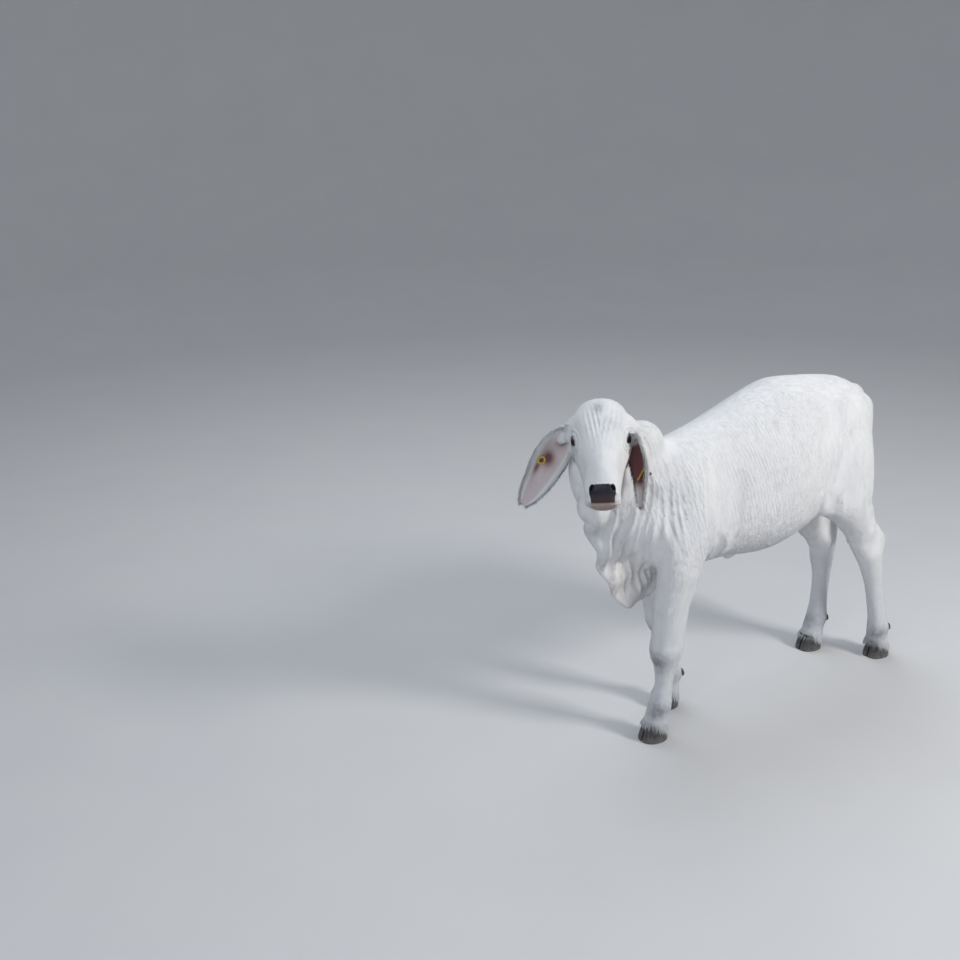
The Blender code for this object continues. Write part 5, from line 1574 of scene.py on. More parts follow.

# %% [markdown]
# ## Where the coat is thin, warm or dirty, and where shade is painted
#
# Hair rubs off where legs bend, so the grey hide shows through, and the lower legs grey towards the
# ground. Shade is painted in the same grey into creases, under the belly, at the throat and round the
# roots of the ears. A crease is found by smoothing a copy of the skin: where the copy lies above the
# skin, the skin is hollow.

# %% Masks of the thin, warm and dirty coat, and of painted shade
# Dirt: world point, three radii, strength.
DIRT = (
    ((-0.372, -0.077, 0.222), (0.030, 0.022, 0.030), 0.75),
    ((-0.364, -0.085, 0.086), (0.026, 0.024, 0.022), 0.70),
    ((-0.250, 0.060, 0.222), (0.026, 0.030, 0.026), 0.45),
    ((0.475, -0.090, 0.076), (0.034, 0.030, 0.020), 0.60),
    ((0.380, 0.076, 0.085), (0.030, 0.030, 0.024), 0.55),
    ((-0.200, 0.056, 0.085), (0.030, 0.030, 0.024), 0.50),
    ((-0.027, -0.094, 0.794), (0.010, 0.010, 0.012), 0.22),
    ((-0.040, -0.134, 0.645), (0.012, 0.010, 0.008), 0.18),
)
CREASE_PASSES = 14
CREASE_RANGE = (0.00035, 0.0022)

around = Neighbours(skin.data)
smoothed = points.copy()
for _ in range(CREASE_PASSES):
    smoothed += 0.6 * (around.mean(smoothed) - smoothed)
# Painted shade: the crease share greys the hollows of the skin.
crease = soft(((smoothed - points) * normals).sum(1), *CREASE_RANGE)
for _ in range(2):
    crease = around.mean(crease[:, None])[:, 0]
low_leg = 1 - soft(points[:, 2], 0.12, 0.42)
shin = 1 - soft(points[:, 2], 0.09, 0.16)
poll = bell(head, (-0.045, -0.004, 0.048), (0.022, 0.012, 0.014))
# Painted shade on the downward faces of the belly.
underside_shade = soft(-normals[:, 2], 0.2, 0.9) * soft(points[:, 2], 0.30, 0.36)
# Painted shade round the roots of the ears.
ear_root_shade = (1 - soft(ears[:, 1], 0.10, 0.34)) * (1 - soft(ears[:, 4], 0.004, 0.010))
# Painted shade on the throat and the front of the dewlap.
throat_shade = bell(points, (-0.500, 0, 0.520), (0.080, 0.080, 0.120))
# Grey on the legs, the poll and the face, and painted shade in creases, underside, throat and ear roots.
grey_hide_and_shade = 0.45 * crease * (1 - 0.85 * ear_share)
grey_hide_and_shade = grey_hide_and_shade + 0.40 * low_leg + 0.20 * shin + 0.75 * poll + 0.25 * underside_shade + 0.35 * ear_root_shade
grey_hide_and_shade += 0.25 * bell(head, (0.125, 0, 0.020), (0.030, 0.040, 0.020)) + 0.34 * throat_shade
for sign in (1, -1):
    grey_hide_and_shade += 0.30 * bell(head, (0.010, sign * 0.058, -0.004), (0.034, 0.030, 0.022))
    grey_hide_and_shade += 0.16 * bell(head, (0.120, sign * 0.045, -0.040), (0.040, 0.020, 0.040))
    # Painted shade in the crease beside the nose.
    grey_hide_and_shade += 0.34 * bell(head, (0.088, sign * 0.040, -0.012), (0.034, 0.007, 0.026))
masks["grey_hide_and_shade"] = np.clip(grey_hide_and_shade * (1 - 0.7 * ear_share), 0, 0.85)
# Painted light: the warm tint on the lit left cheek; on the dewlap the warm tint is its pink skin.
warm = 0.85 * bell(head, (0.060, 0.055, -0.050), (0.080, 0.040, 0.055))
warm += 0.65 * bell(points, (-0.450, 0, 0.440), (0.080, 0.060, 0.090))
masks["warm"] = np.clip(warm, 0, 1)
smudge = np.zeros(len(points))
for centre, radii, strength in DIRT:
    smudge += strength * bell(points, centre, radii)
masks["smudge"] = np.clip(smudge + 0.30 * poll, 0, 0.85)
print("Thin, warm and dirty coat laid down; creases on", int((crease > 0.5).sum()), "points")

# %% [markdown]
# ## The hide
#
# The hide is drawn in by the coat's own depth, so that the hair on it ends where the solids do. An
# unwrap spreads it flat, as a furrier's pattern, for anyone who wants to paint it later.

# %% Draw the hide in
COAT_DEPTH = 0.0013
THIN_DEPTH = 0.0003

eye_reach = np.full(len(points), 1.0)
for sign in (1, -1):
    centre = np.array(eye_frame(sign)[0])
    eye_reach = np.minimum(eye_reach, np.linalg.norm(head - centre, axis=1))
bare = np.maximum.reduce([masks["nose"], masks["lip"], ear_share, 1 - soft(eye_reach, 0.022, 0.040)])
depth = COAT_DEPTH * (1 - bare) + THIN_DEPTH * bare
points -= normals * depth[:, None]
set_points(skin.data, points)
print("Hide drawn in by", THIN_DEPTH * 1000, "to", COAT_DEPTH * 1000, "mm")

# %% Where ripples cross the coat
# Where fine upright ripples cross the coat: x, z, their reaches, strength.
RIPPLES = (
    (-0.06, 0.68, 0.20, 0.17, 0.80),
    (-0.27, 0.66, 0.08, 0.16, 0.90),
    (-0.39, 0.68, 0.07, 0.13, 1.00),
    (0.30, 0.68, 0.10, 0.12, 0.20),
)
masks["tint"] = np.full(len(points), 0.5)
ripple = np.zeros(len(points))
for x, z, reach_x, reach_z, strength in RIPPLES:
    far = ((points[:, 0] - x) / reach_x) ** 2 + ((points[:, 2] - z) / reach_z) ** 2
    ripple = np.maximum(ripple, strength * np.exp(-far))
breaks = 0.70 + 0.30 * np.sin(points[:, 0] * 57 + points[:, 2] * 71)
ripple = ripple * breaks * soft(np.abs(normals[:, 1]), 0.15, 0.55)
masks["ripple"] = ripple * (1 - head_share) * (1 - ear_share)
print("Ripples on", int((masks["ripple"] > 0.3).sum()), "points")


# %% Store the markings and unwrap the hide
def store_masks(mesh, values):
    """Write each marking to a mesh as one number a point."""
    for name, column in values.items():
        layer = mesh.attributes.new(name, "FLOAT", "POINT")
        layer.data.foreach_set("value", np.ascontiguousarray(column, dtype=np.float32))


def unwrap(thing):
    """Spread a mesh flat without overlaps in the map called OFBake."""
    thing.data.uv_layers.new(name="OFBake")
    bpy.context.view_layer.objects.active = thing
    thing.select_set(True)
    bpy.ops.object.mode_set(mode="EDIT")
    bpy.ops.mesh.select_all(action="SELECT")
    bpy.ops.uv.smart_project(angle_limit=math.radians(66), island_margin=0.001)
    bpy.ops.object.mode_set(mode="OBJECT")
    thing.select_set(False)


store_masks(skin.data, masks)
unwrap(skin)
skin.data.materials.clear()
skin.data.materials.append(hide_coat)
skin.data.shade_smooth()
skin.name = "hide"
print("Hide holds", len(masks), "markings and one flat map")

# %% Name the solids that the hide stands for
FLESH = ("head", "lower_jaw", "nose_pad", "neck", "hump", "dewlap", "chest", "barrel", "rump",
         "shoulder", "thigh", "forearm", "knee", "cannon", "pastern", "gaskin", "hock", "ear_")
flesh_nodes = [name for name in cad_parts
               if name == "tail" or any(word in name for word in FLESH)]


def carry(piece, slot, *nodes):
    """Move a piece to the solids' place, let it ride, and hide the solids it stands for; the slot is not
    used.
    """
    piece.data.transform(Matrix.Translation(CAD_SHIFT))
    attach(piece, "root")
    if nodes:
        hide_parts(*nodes)


def dress(piece, finish, slot, *nodes, crease=None):
    """Smooth a piece, keep edges sharper than the crease, paint it and carry it."""
    piece.data.shade_smooth()
    if crease:
        piece.data.set_sharp_from_angle(angle=math.radians(crease))
    piece.data.materials.append(finish)
    carry(piece, slot, *nodes)


print("The hide stands for", len(flesh_nodes), "solids")

# %% [markdown]
# ## The coat
#
# Short hair lies flat along the body. From a distance most of it is only a grain in the surface, which
# the bump gives, but it breaks the outline and the edges of folds, ears and hooves. So thin flat
# tufts are laid over the hide, each a closed sliver of four triangles that is sunk at its root, points
# the way real hair grows, and takes its markings from the hide under it.

# %% The lie of the hair
WHORL = (-0.015, 0.0, 0.050)
TUFT_SEED = 23
TUFTS_PER_PIECE = 49000
# Region: length, width, tufts on a square centimetre.
TUFTS = {
    "trunk": (0.0130, 0.0012, 8.0),
    "neck": (0.0105, 0.0011, 10.0),
    "face": (0.0062, 0.0010, 26.0),
    "ear": (0.0075, 0.0009, 26.0),
    "leg": (0.0085, 0.0011, 14.0),
    "tail": (0.0130, 0.0016, 12.0),
}


def hair_ways(points, normals, head, ears, shares):
    """Give the way that hair lies at each point, along the skin."""
    ways = np.tile((1.0, 0.0, -0.55), (len(points), 1))
    ways[:, 2] -= 0.5 * shares["neck"]
    down = np.array((0.18, 0.0, -1.0))
    for name in ("leg", "tail"):
        ways = ways * (1 - shares[name][:, None]) + down * shares[name][:, None]
    turning = np.array(HEAD_TURNING)
    from_whorl = (head - WHORL) * (1.0, 1.0, 0.6) + (0.004, 0, 0)
    from_whorl /= np.linalg.norm(from_whorl, axis=1)[:, None]
    ways = ways * (1 - shares["face"][:, None]) + (from_whorl @ turning.T) * shares["face"][:, None]
    for number, sections in enumerate(EAR_SECTIONS.values()):
        centres = np.array([tuple(section[0]) for section in sections])
        sides = np.array([tuple(section[1]) for section in sections])
        runs = np.gradient(centres, axis=0)
        runs /= np.linalg.norm(runs, axis=1)[:, None]
        own = np.flatnonzero((ears[:, 0] == number) & (shares["ear"] > 0.01))
        k = np.round(ears[own, 1] * (len(sections) - 1)).astype(int)
        way = runs[k] + sides[k] * (0.7 * ears[own, 2:3])
        share = shares["ear"][own, None]
        ways[own] = ways[own] * (1 - share) + way * share
    ways -= normals * (ways * normals).sum(1)[:, None]
    return ways / (np.linalg.norm(ways, axis=1)[:, None] + 1e-9)


def coat_shares(points, ear_share, head_share):
    """Tell how much each point belongs to each region of the coat."""
    shares = {"ear": ear_share, "face": head_share * (1 - ear_share)}
    free = 1 - np.maximum(shares["ear"], shares["face"])
    dewlap = bell(points, (-0.42, 0, 0.42), (0.10, 0.035, 0.12))
    shares["leg"] = free * (1 - soft(points[:, 2], 0.34, 0.50)) * (1 - dewlap)
    tail = (points[:, 0] > 0.395) * (np.abs(points[:, 1]) < 0.026) * (points[:, 2] > 0.40)
    shares["tail"] = free * tail
    shares["leg"] *= 1 - tail
    shares["neck"] = free * (1 - soft(points[:, 0], -0.36, -0.24)) * (1 - shares["leg"])
    shares["trunk"] = np.clip(free - shares["leg"] - shares["tail"] - shares["neck"], 0, 1)
    return shares


shares = coat_shares(points, ear_share, head_share)
ways = hair_ways(points, normals, head, ears, shares)
print("Coat shared out over", len(shares), "regions")

# %% How long and how thick the coat is
lengths = sum(shares[name] * TUFTS[name][0] for name in TUFTS)
widths = sum(shares[name] * TUFTS[name][1] for name in TUFTS)
counts = sum(shares[name] * TUFTS[name][2] for name in TUFTS)
muzzle = soft(head[:, 0], 0.06, 0.13) * shares["face"]
lengths *= 1 - 0.35 * muzzle
rims = soft(np.abs(ears[:, 2]), 0.72, 0.95) * ear_share
lengths *= 1 + 0.9 * rims
counts *= 1 + 0.8 * rims
belly = soft(-normals[:, 2], 0.2, 0.8) * shares["trunk"]
lengths *= 1 + 0.3 * belly
over_foot = np.full(len(points), 1.0)
for foot in FEET.values():
    near = np.hypot(points[:, 0] - foot.x, points[:, 1] - foot.y) < 0.07
    rise = points[:, 2] - CORONET_HEIGHT - CORONET_SLOPE * (foot.x - points[:, 0])
    over_foot = np.where(near, np.minimum(over_foot, np.abs(rise)), over_foot)
fringe = 1 - soft(over_foot, 0.006, 0.018)
lengths *= 1 + 1.8 * fringe
counts *= 1 + 1.2 * fringe
counts *= (1 - np.clip(masks["nose"] + masks["lip"], 0, 1)) * (1 - 0.9 * masks["rim"])
counts *= soft(eye_reach, 0.019, 0.024) * (1 - 0.65 * masks["ear_maroon_and_shade"])
groove = (np.abs(over_mouth) < 0.0035) * (head[:, 0] > 0.10) * (head_share > 0.5)
for sign in (1, -1):
    away = np.linalg.norm(head - (NOSTRIL[0], sign * NOSTRIL[1], NOSTRIL[2]), axis=1)
    groove = groove + (away < 0.010)
counts = np.where(groove > 0, 0, counts)
soles = (normals[:, 2] < -0.6) & (points[:, 2] < 0.062)
counts[soles] = 0
shortest, longest = float(lengths.min()) * 1000, float(lengths.max()) * 1000
print("Hair from", round(shortest, 1), "to", round(longest, 1), "mm")

# %% [markdown]
# ## Planting the tufts
#
# A tuft's root is a random spot on a random face of the hide, with more roots where the coat is dense.
# Length, way, markings and place on the flat map are all read there from the three corners of the
# face. A fixed seed makes the same coat each time.

# %% Choose the roots
SQUARE_CENTIMETRES = 10000  # in a square metre

mesh = skin.data
mesh.calc_loop_triangles()
corners = read_rows(mesh.loop_triangles, "vertices", 3, int)
loops = read_rows(mesh.loop_triangles, "loops", 3, int)
flat_map = read_rows(mesh.uv_layers["OFBake"].data, "uv", 2)
edge_a = points[corners[:, 1]] - points[corners[:, 0]]
edge_b = points[corners[:, 2]] - points[corners[:, 0]]
areas = np.linalg.norm(np.cross(edge_a, edge_b), axis=1) / 2
wanted = areas * SQUARE_CENTIMETRES * counts[corners].mean(1)
chance = np.random.default_rng(TUFT_SEED)
planted = np.floor(wanted + chance.random(len(wanted))).astype(int)
at = np.repeat(np.arange(len(corners)), planted)
u, v = chance.random(len(at)), chance.random(len(at))
flip = u + v > 1
u[flip], v[flip] = 1 - u[flip], 1 - v[flip]
weights = np.stack([1 - u - v, u, v], axis=1)
print("Tufts:", len(at))

# %% Read the skin at each root
TUFT_LIFT = (0.015, 0.055)
FRINGE_LIFT = 0.16
RIM_LIFT = 0.10
TUFT_SWAY = 0.12
HAIR_TILT = 0.035


def at_roots(values):
    """Read values of the skin's points at the roots of the tufts."""
    picked = values[corners[at]]
    if picked.ndim == 2:
        return (picked * weights).sum(1)
    return (picked * weights[:, :, None]).sum(1)


roots = at_roots(points)
root_normals = at_roots(normals)
root_normals /= np.linalg.norm(root_normals, axis=1)[:, None]
root_ways = at_roots(ways)
root_lengths = at_roots(lengths) * chance.uniform(0.75, 1.2, len(at))
root_widths = at_roots(widths) * chance.uniform(0.8, 1.2, len(at))
root_masks = {name: at_roots(values) for name, values in masks.items()}
root_masks["tint"] = chance.random(len(at))
root_map = (flat_map[loops[at]] * weights[:, :, None]).sum(1)
sideways = np.cross(root_ways, root_normals)
sway = chance.normal(0, TUFT_SWAY, len(at))
root_ways = root_ways + sideways * sway[:, None]
root_ways -= root_normals * (root_ways * root_normals).sum(1)[:, None]
root_ways /= np.linalg.norm(root_ways, axis=1)[:, None] + 1e-9
sideways = np.cross(root_ways, root_normals)
lifts = chance.uniform(*TUFT_LIFT, len(at)) + FRINGE_LIFT * at_roots(fringe) + RIM_LIFT * at_roots(rims)
hair_normals = root_normals + sideways * chance.normal(0, HAIR_TILT, len(at))[:, None]
hair_normals /= np.linalg.norm(hair_normals, axis=1)[:, None]
print("Tufts lean out by", round(float(lifts.mean()), 3), "of their length on average")

# %% Build the tufts
TUFT_RIDGE = 0.45
ROOT_SUNK = 0.0006
BAKE_PATCH = 0.0015
TUFT_FACES = np.array(((0, 1, 2), (0, 2, 3), (1, 3, 2), (0, 3, 1)))


def tuft_piece(name, own):
    """Build the tufts of one region as one piece."""
    n = len(own)
    length, width = root_lengths[own, None], root_widths[own, None]
    way, side, up = root_ways[own], sideways[own], root_normals[own]
    base = roots[own] - up * ROOT_SUNK
    lift = lifts[own, None]
    ridge = roots[own] + way * length * TUFT_RIDGE + up * (length * lift * 0.8 + width * 0.12)
    tip = roots[own] + way * length + up * length * lift
    spots = np.stack([base + side * width / -2, base + side * width / 2, ridge, tip], axis=1)
    faces = (np.arange(n)[:, None, None] * 4 + TUFT_FACES[None]).reshape(-1, 3)
    mesh = bpy.data.meshes.new(name)
    mesh.vertices.add(n * 4)
    mesh.vertices.foreach_set("co", spots.ravel())
    mesh.loops.add(n * 12)
    mesh.loops.foreach_set("vertex_index", faces.ravel())
    mesh.polygons.add(n * 4)
    mesh.polygons.foreach_set("loop_start", np.arange(n * 4) * 3)
    mesh.update(calc_edges=True)
    store_masks(mesh, {key: np.repeat(values[own], 4) for key, values in root_masks.items()})
    patch = np.array(((-1, -1), (1, -1), (0, 0), (0, 1))) * BAKE_PATCH
    spread = (root_map[own][:, None] + patch[None]).reshape(-1, 2)
    layer = mesh.uv_layers.new(name="OFBake")
    layer.data.foreach_set("uv", np.clip(spread[faces.ravel()], 0, 1).ravel())
    mesh.shade_smooth()
    mesh.normals_split_custom_set_from_vertices(np.repeat(hair_normals[own], 4, axis=0))
    mesh.materials.append(hair_coat)
    thing = bpy.data.objects.new(name, mesh)
    bpy.context.scene.collection.objects.link(thing)
    carry(thing, "coat")
    return n


region_names = list(TUFTS)
region = np.argmax(np.stack([at_roots(shares[name]) for name in region_names]), axis=0)
for number, name in enumerate(region_names):
    own = np.flatnonzero(region == number)
    for part in range(math.ceil(len(own) / TUFTS_PER_PIECE)):
        some = own[part * TUFTS_PER_PIECE:(part + 1) * TUFTS_PER_PIECE]
        made = tuft_piece(f"coat_{name}_{part + 1}", some)
        print("Coat of the", name, "part", part + 1, "has", made, "tufts")
carry(skin, "coat", *flesh_nodes)

# %% [markdown]
# ## Eyes
#
# A calf's eye is almost all dark iris, with a pupil that lies flat like a letterbox and a clear bulge,
# the cornea, over both. The ball is a fine sphere whose front is pushed out a little. Iris and pupil
# are again masks, and the shader makes it wet.

# %% Eye material
EYE_WHITE = (0.10, 0.08, 0.07)
EYE_WHITE_VEINED = (0.06, 0.04, 0.035)
IRIS_BROWN = (0.014, 0.008, 0.006)
IRIS_STREAK = (0.028, 0.015, 0.010)
PUPIL = (0.004, 0.004, 0.008)

eye_finish, tree, shader = new_material("wet_eye")
streaks = ramp(tree, noise(tree, 420.0, 4.0), 0.35, 0.7)
colour = mixed(tree, streaks, IRIS_BROWN, IRIS_STREAK)
white = mixed(tree, noise(tree, 160.0, 4.0), EYE_WHITE, EYE_WHITE_VEINED)
colour = mixed(tree, mask(tree, "iris"), white, colour)
colour = mixed(tree, mask(tree, "pupil"), colour, PUPIL)
tree.links.new(colour, shader.inputs["Base Color"])
tree.links.new(ramp(tree, noise(tree, 30.0), 0.3, 0.7, 0.05, 0.10), shader.inputs["Roughness"])
shader.inputs["Coat Weight"].default_value = 0.25
shader.inputs["Coat Roughness"].default_value = 0.03
print("Eye material made")

# %% Turn the eyeballs
IRIS_ANGLE = 0.92
IRIS_EDGE = 0.08
CORNEA_RISE = 0.0007
PUPIL_HALF = (0.0062, 0.0032)

for word, sign in (("left", 1), ("right", -1)):
    centre, long_way, short_way, look = eye_frame(sign)
    turn = Matrix((long_way, short_way, look)).transposed().to_4x4()
    bm = bmesh.new()
    bmesh.ops.create_uvsphere(bm, u_segments=72, v_segments=48, radius=EYE_RADIUS)
    shown = {"iris": [], "pupil": []}
    for vertex in bm.verts:
        away = vertex.co.normalized().angle(Vector((0, 0, 1)))
        bulge = max(0.0, 1 - (away / IRIS_ANGLE) ** 2)
        shown["iris"].append(min(1.0, max(0.0, (IRIS_ANGLE - away) / IRIS_EDGE)))
        oval = math.hypot(vertex.co.x / PUPIL_HALF[0], vertex.co.y / PUPIL_HALF[1])
        front = 1.0 if vertex.co.z > 0 else 0.0
        shown["pupil"].append(front * min(1.0, max(0.0, (1.1 - oval) / 0.2)))
        vertex.co *= 1 + bulge * CORNEA_RISE / EYE_RADIUS
    bmesh.ops.transform(bm, matrix=HEAD_PLACE @ Matrix.Translation(centre) @ turn, verts=bm.verts)
    eyeball = new_object("eyeball_" + word, bm)
    store_masks(eyeball.data, {name: np.array(column) for name, column in shown.items()})
    dress(eyeball, eye_finish, "eye", "eye_" + word)
print("Eyeballs set in their sockets")

# %% [markdown]
# ## Hooves
#
# Each claw is a D seen from above, flat towards the cleft. Horn grows down from the coronet in faint
# rings, dark grey at the top and paler and scuffed at the ground. The claw is lofted from many rings,
# each a little fuller or leaner than the last. Two small dewclaws hang behind each fetlock.

# %% Horn material
HORN_DARK = (0.034, 0.034, 0.040)
HORN_GREY = (0.065, 0.062, 0.066)
HORN_PALE = (0.120, 0.112, 0.112)
HORN_DUST = (0.200, 0.180, 0.160)
HORN_RELIEF = 0.0007

horn_finish, tree, shader = new_material("grey_horn")
grown = noise(tree, 46.0, 4.0, (0.35, 0.35, 3.2), (0, -19, 0))
streaks = noise(tree, 190.0, 3.0, (1.0, 1.0, 0.12))
colour = mixed(tree, ramp(tree, grown, 0.35, 0.68), HORN_DARK, HORN_GREY)
colour = mixed(tree, ramp(tree, streaks, 0.45, 0.75, 0.0, 0.6), colour, HORN_PALE)
height = node(tree, "ShaderNodeSeparateXYZ", {0: node(tree, "ShaderNodeTexCoord").outputs["Object"]})
low = ramp(tree, height.outputs["Z"], 0.002, 0.020, 0.75, 0.0)
worn = maths(tree, "MULTIPLY", low, ramp(tree, noise(tree, 120.0, 5.0), 0.3, 0.65))
colour = mixed(tree, worn, colour, HORN_DUST)
tree.links.new(colour, shader.inputs["Base Color"])
tree.links.new(ramp(tree, grown, 0.3, 0.7, 0.42, 0.62), shader.inputs["Roughness"])
relief = maths(tree, "ADD", grown, maths(tree, "MULTIPLY", streaks, 0.4))
bump(tree, shader, relief, HORN_RELIEF, 0.7)
print("Horn material made")

# %% [markdown]
# ## Claws
#
# A claw is wider at the ground than at the coronet, and its top follows the hide's slope. Each ring
# keeps the D shape and only changes in size, and the rings of growth are a slow wave in that size. A
# dewclaw is a small blunt cone that points down and back.

# %% Rings of one claw
CLAW_FRONT = 0.041
CLAW_REAR = 0.034
CLAW_WIDTH = 0.0315
CLAW_LEVELS = ((1.0, 0.80), (0.55, 0.89), (0.12, 0.976), (0.0, 0.965))
CLAW_LEAN = 0.025
CLAW_FULLNESS = 0.75
CLEFT = 0.0045
CLAW_POINTS = 41
CLAW_RINGS = 26
GROWTH_RINGS = 6.5
GROWTH_DEPTH = 0.007
TOP_GAP = 0.0004


def claw_ring(foot, level, scale, side):
    """Draw one D shaped ring of a claw: flat towards the cleft and round outside."""
    ring = []
    shift = (1 - scale) * CLAW_LEAN
    for k in range(CLAW_POINTS):
        angle = math.pi * (k / (CLAW_POINTS - 1) - 0.5)
        reach = CLAW_FRONT if angle > 0 else CLAW_REAR
        x = foot.x + shift - reach * scale * math.sin(angle)
        width = CLAW_WIDTH * scale * abs(math.cos(angle)) ** CLAW_FULLNESS
        height = max((coronet(foot, x) - TOP_GAP) * level, 0.0)
        ring.append(Vector((x, foot.y + side * (CLEFT / 2 + width), height)))
    return ring


def claw(bm, foot, side):
    """Loft one claw, with growth rings on its wall and a rounded edge at the ground."""
    heights, scales = zip(*reversed(CLAW_LEVELS))
    rings = [claw_ring(foot, 1.0, CLAW_LEVELS[0][1] * 0.80, side)]
    for k in range(CLAW_RINGS + 1):
        level = 1 - k / CLAW_RINGS
        scale = float(np.interp(level, heights, scales))
        wave = math.sin(2 * math.pi * GROWTH_RINGS * level + 0.6 * math.sin(9 * level + foot.x * 40))
        fade = min(1.0, 4 * level) * min(1.0, 6 * (1 - level))
        rings.append(claw_ring(foot, level, scale * (1 - GROWTH_DEPTH * fade * (0.5 + 0.5 * wave)), side))
    rings.append(claw_ring(foot, 0.0, CLAW_LEVELS[-1][1] * 0.93, side))
    loft(bm, rings)


print("A claw is lofted from", CLAW_RINGS + 3, "rings")

# %% Claws and dewclaws of each foot
DEWCLAW_HEIGHT = 0.088
DEWCLAW_RADIUS = 0.0085
DEWCLAW_BACK = 0.027
DEWCLAW_OUT = 0.016
DEWCLAW_WAY = (0.55, 0.12, -0.82)
# Dewclaw outline: distance along it from its middle, share of its radius.
DEWCLAW_PROFILE = ((-0.010, 0.86), (-0.006, 1.0), (0.000, 0.90), (0.005, 0.74), (0.008, 0.56),
                   (0.0096, 0.34), (0.010, 0.10))
HOOF_CREASE = 50

for leg, stance in STANCE.items():
    foot = FEET[leg]
    ankle = Vector((*limb_axis(stance, DEWCLAW_HEIGHT), DEWCLAW_HEIGHT))
    bm = bmesh.new()
    for side in (-1, 1):
        claw(bm, foot, side)
        spot = ankle + Vector((DEWCLAW_BACK, side * DEWCLAW_OUT, 0))
        way = Vector((DEWCLAW_WAY[0], side * DEWCLAW_WAY[1], DEWCLAW_WAY[2])).normalized()
        rings = [circle(spot + way * along, way, DEWCLAW_RADIUS * share, 20, face=(0, 1, 0))
                 for along, share in smooth_rows(DEWCLAW_PROFILE, 3)]
        loft(bm, rings)
    hooves = new_object("hooves_" + leg, bm)
    nodes = [f"{leg}_{kind}_{word}" for kind in ("claw", "dewclaw") for word in ("left", "right")]
    dress(hooves, horn_finish, "horn", *nodes, crease=HOOF_CREASE)
print("Hooves made for", len(FEET), "feet")

# %% [markdown]
# ## Ear tags
#
# The calf wears a round button in one ear and a small plate in the other. Such tags are moulded from a
# tough, slightly waxy plastic, with a soft edge where the mould closed. The round parts are turned on
# an axis, as on a lathe, and the plate is a loft with rounded corners. Both are blank.

# %% Tag materials
# Clean colour, worn colour and roughness of each plastic.
TAG_YELLOW = ((0.62, 0.40, 0.045), (0.20, 0.15, 0.07), 0.42)
TAG_DARK = ((0.060, 0.052, 0.050), (0.17, 0.15, 0.13), 0.48)
TAG_RELIEF = 0.00012


def tag_material(name, colour, worn_colour, rough):
    """Make moulded plastic that is a little dirty and scuffed."""
    material, tree, shader = new_material(name)
    dirt = ramp(tree, noise(tree, 210.0, 5.0), 0.50, 0.74, 0.0, 0.7)
    clouds = ramp(tree, noise(tree, 60.0, 3.0), 0.35, 0.70)
    base = mixed(tree, clouds, colour, tuple(0.86 * part for part in colour))
    tree.links.new(mixed(tree, dirt, base, worn_colour), shader.inputs["Base Color"])
    tree.links.new(ramp(tree, dirt, 0.0, 0.7, rough, rough + 0.25), shader.inputs["Roughness"])
    bump(tree, shader, noise(tree, 520.0, 2.0), TAG_RELIEF, 0.6)
    return material


tag_yellow = tag_material("yellow_tag_plastic", *TAG_YELLOW)
tag_dark = tag_material("dark_tag_plastic", *TAG_DARK)
print("Tag plastics made")

# %% [markdown]
# ## Button and studs
#
# A button tag is a flat ring with a raised rim, and a pin with a blunt stud holds it from behind. All
# are round, so each is one outline turned on the axis that pierces the ear.

# %% Button and studs
BUTTON_SECTION = 14
BUTTON_SHARE = 0.44
PLATE_SECTION = 16
LATHE_SIDES = 48
PIN_RADIUS = 0.0055
TAG_CREASE = 48
# Lathe outlines: distance along the axis, radius.
BUTTON_PROFILE = ((0.0012, 0.0088), (0.0014, 0.0104), (0.0022, 0.0110), (0.0034, 0.0109),
                  (0.0041, 0.0102), (0.0042, 0.0094), (0.0036, 0.0088), (0.0034, 0.0058),
                  (0.0041, 0.0052), (0.0042, 0.0044), (0.0038, 0.0012))
BUTTON_STUD_PROFILE = ((-0.0014, 0.0062), (-0.0016, 0.0072), (-0.0022, 0.0075), (-0.0028, 0.0070),
                       (-0.0031, 0.0052), (-0.0040, 0.0036), (-0.0045, 0.0012))
PLATE_STUD_PROFILE = ((-0.0008, 0.0050), (-0.0010, 0.0058), (-0.0020, 0.0060), (-0.0030, 0.0056),
                      (-0.0040, 0.0046), (-0.0100, 0.0034), (-0.0124, 0.0022), (-0.0130, 0.0008))


def turned(name, spot, face, profile, finish, slot, pin=0.0):
    """Turn an outline round an axis and make it a piece in place of the solid of that name."""
    run = face.orthogonal()
    bm = bmesh.new()
    loft(bm, [circle(spot + face * along, face, radius, LATHE_SIDES, face=run)
              for along, radius in profile])
    piece = new_object("finished_" + name, bm)
    in_pin = []
    for polygon in piece.data.polygons:
        away = polygon.center - spot
        in_pin.append((away - face * away.dot(face)).length < pin)
    dress(piece, finish, slot, name, crease=TAG_CREASE)
    if pin:
        piece.data.materials.append(tag_dark)
        for polygon, dark in zip(piece.data.polygons, in_pin):
            polygon.material_index = int(dark)


section = EAR_SECTIONS["ear_right"][BUTTON_SECTION]
spot = ear_point(section, BUTTON_SHARE, 0)
back = ear_point(section, BUTTON_SHARE, EAR_THICKNESS)
face = (spot - back).normalized()
turned("tag_right_button", spot, face, BUTTON_PROFILE, tag_yellow, "tag_yellow", PIN_RADIUS)
turned("tag_right_stud", back, face, BUTTON_STUD_PROFILE, tag_dark, "tag_dark")
section = EAR_SECTIONS["ear_left"][PLATE_SECTION]
spot = ear_point(section, 0, 0)
face = section[2].copy()
back = ear_point(section, 0, EAR_THICKNESS)
turned("tag_left_stud", back, face, PLATE_STUD_PROFILE, tag_dark, "tag_dark")
print("Button and two studs made, all blank")

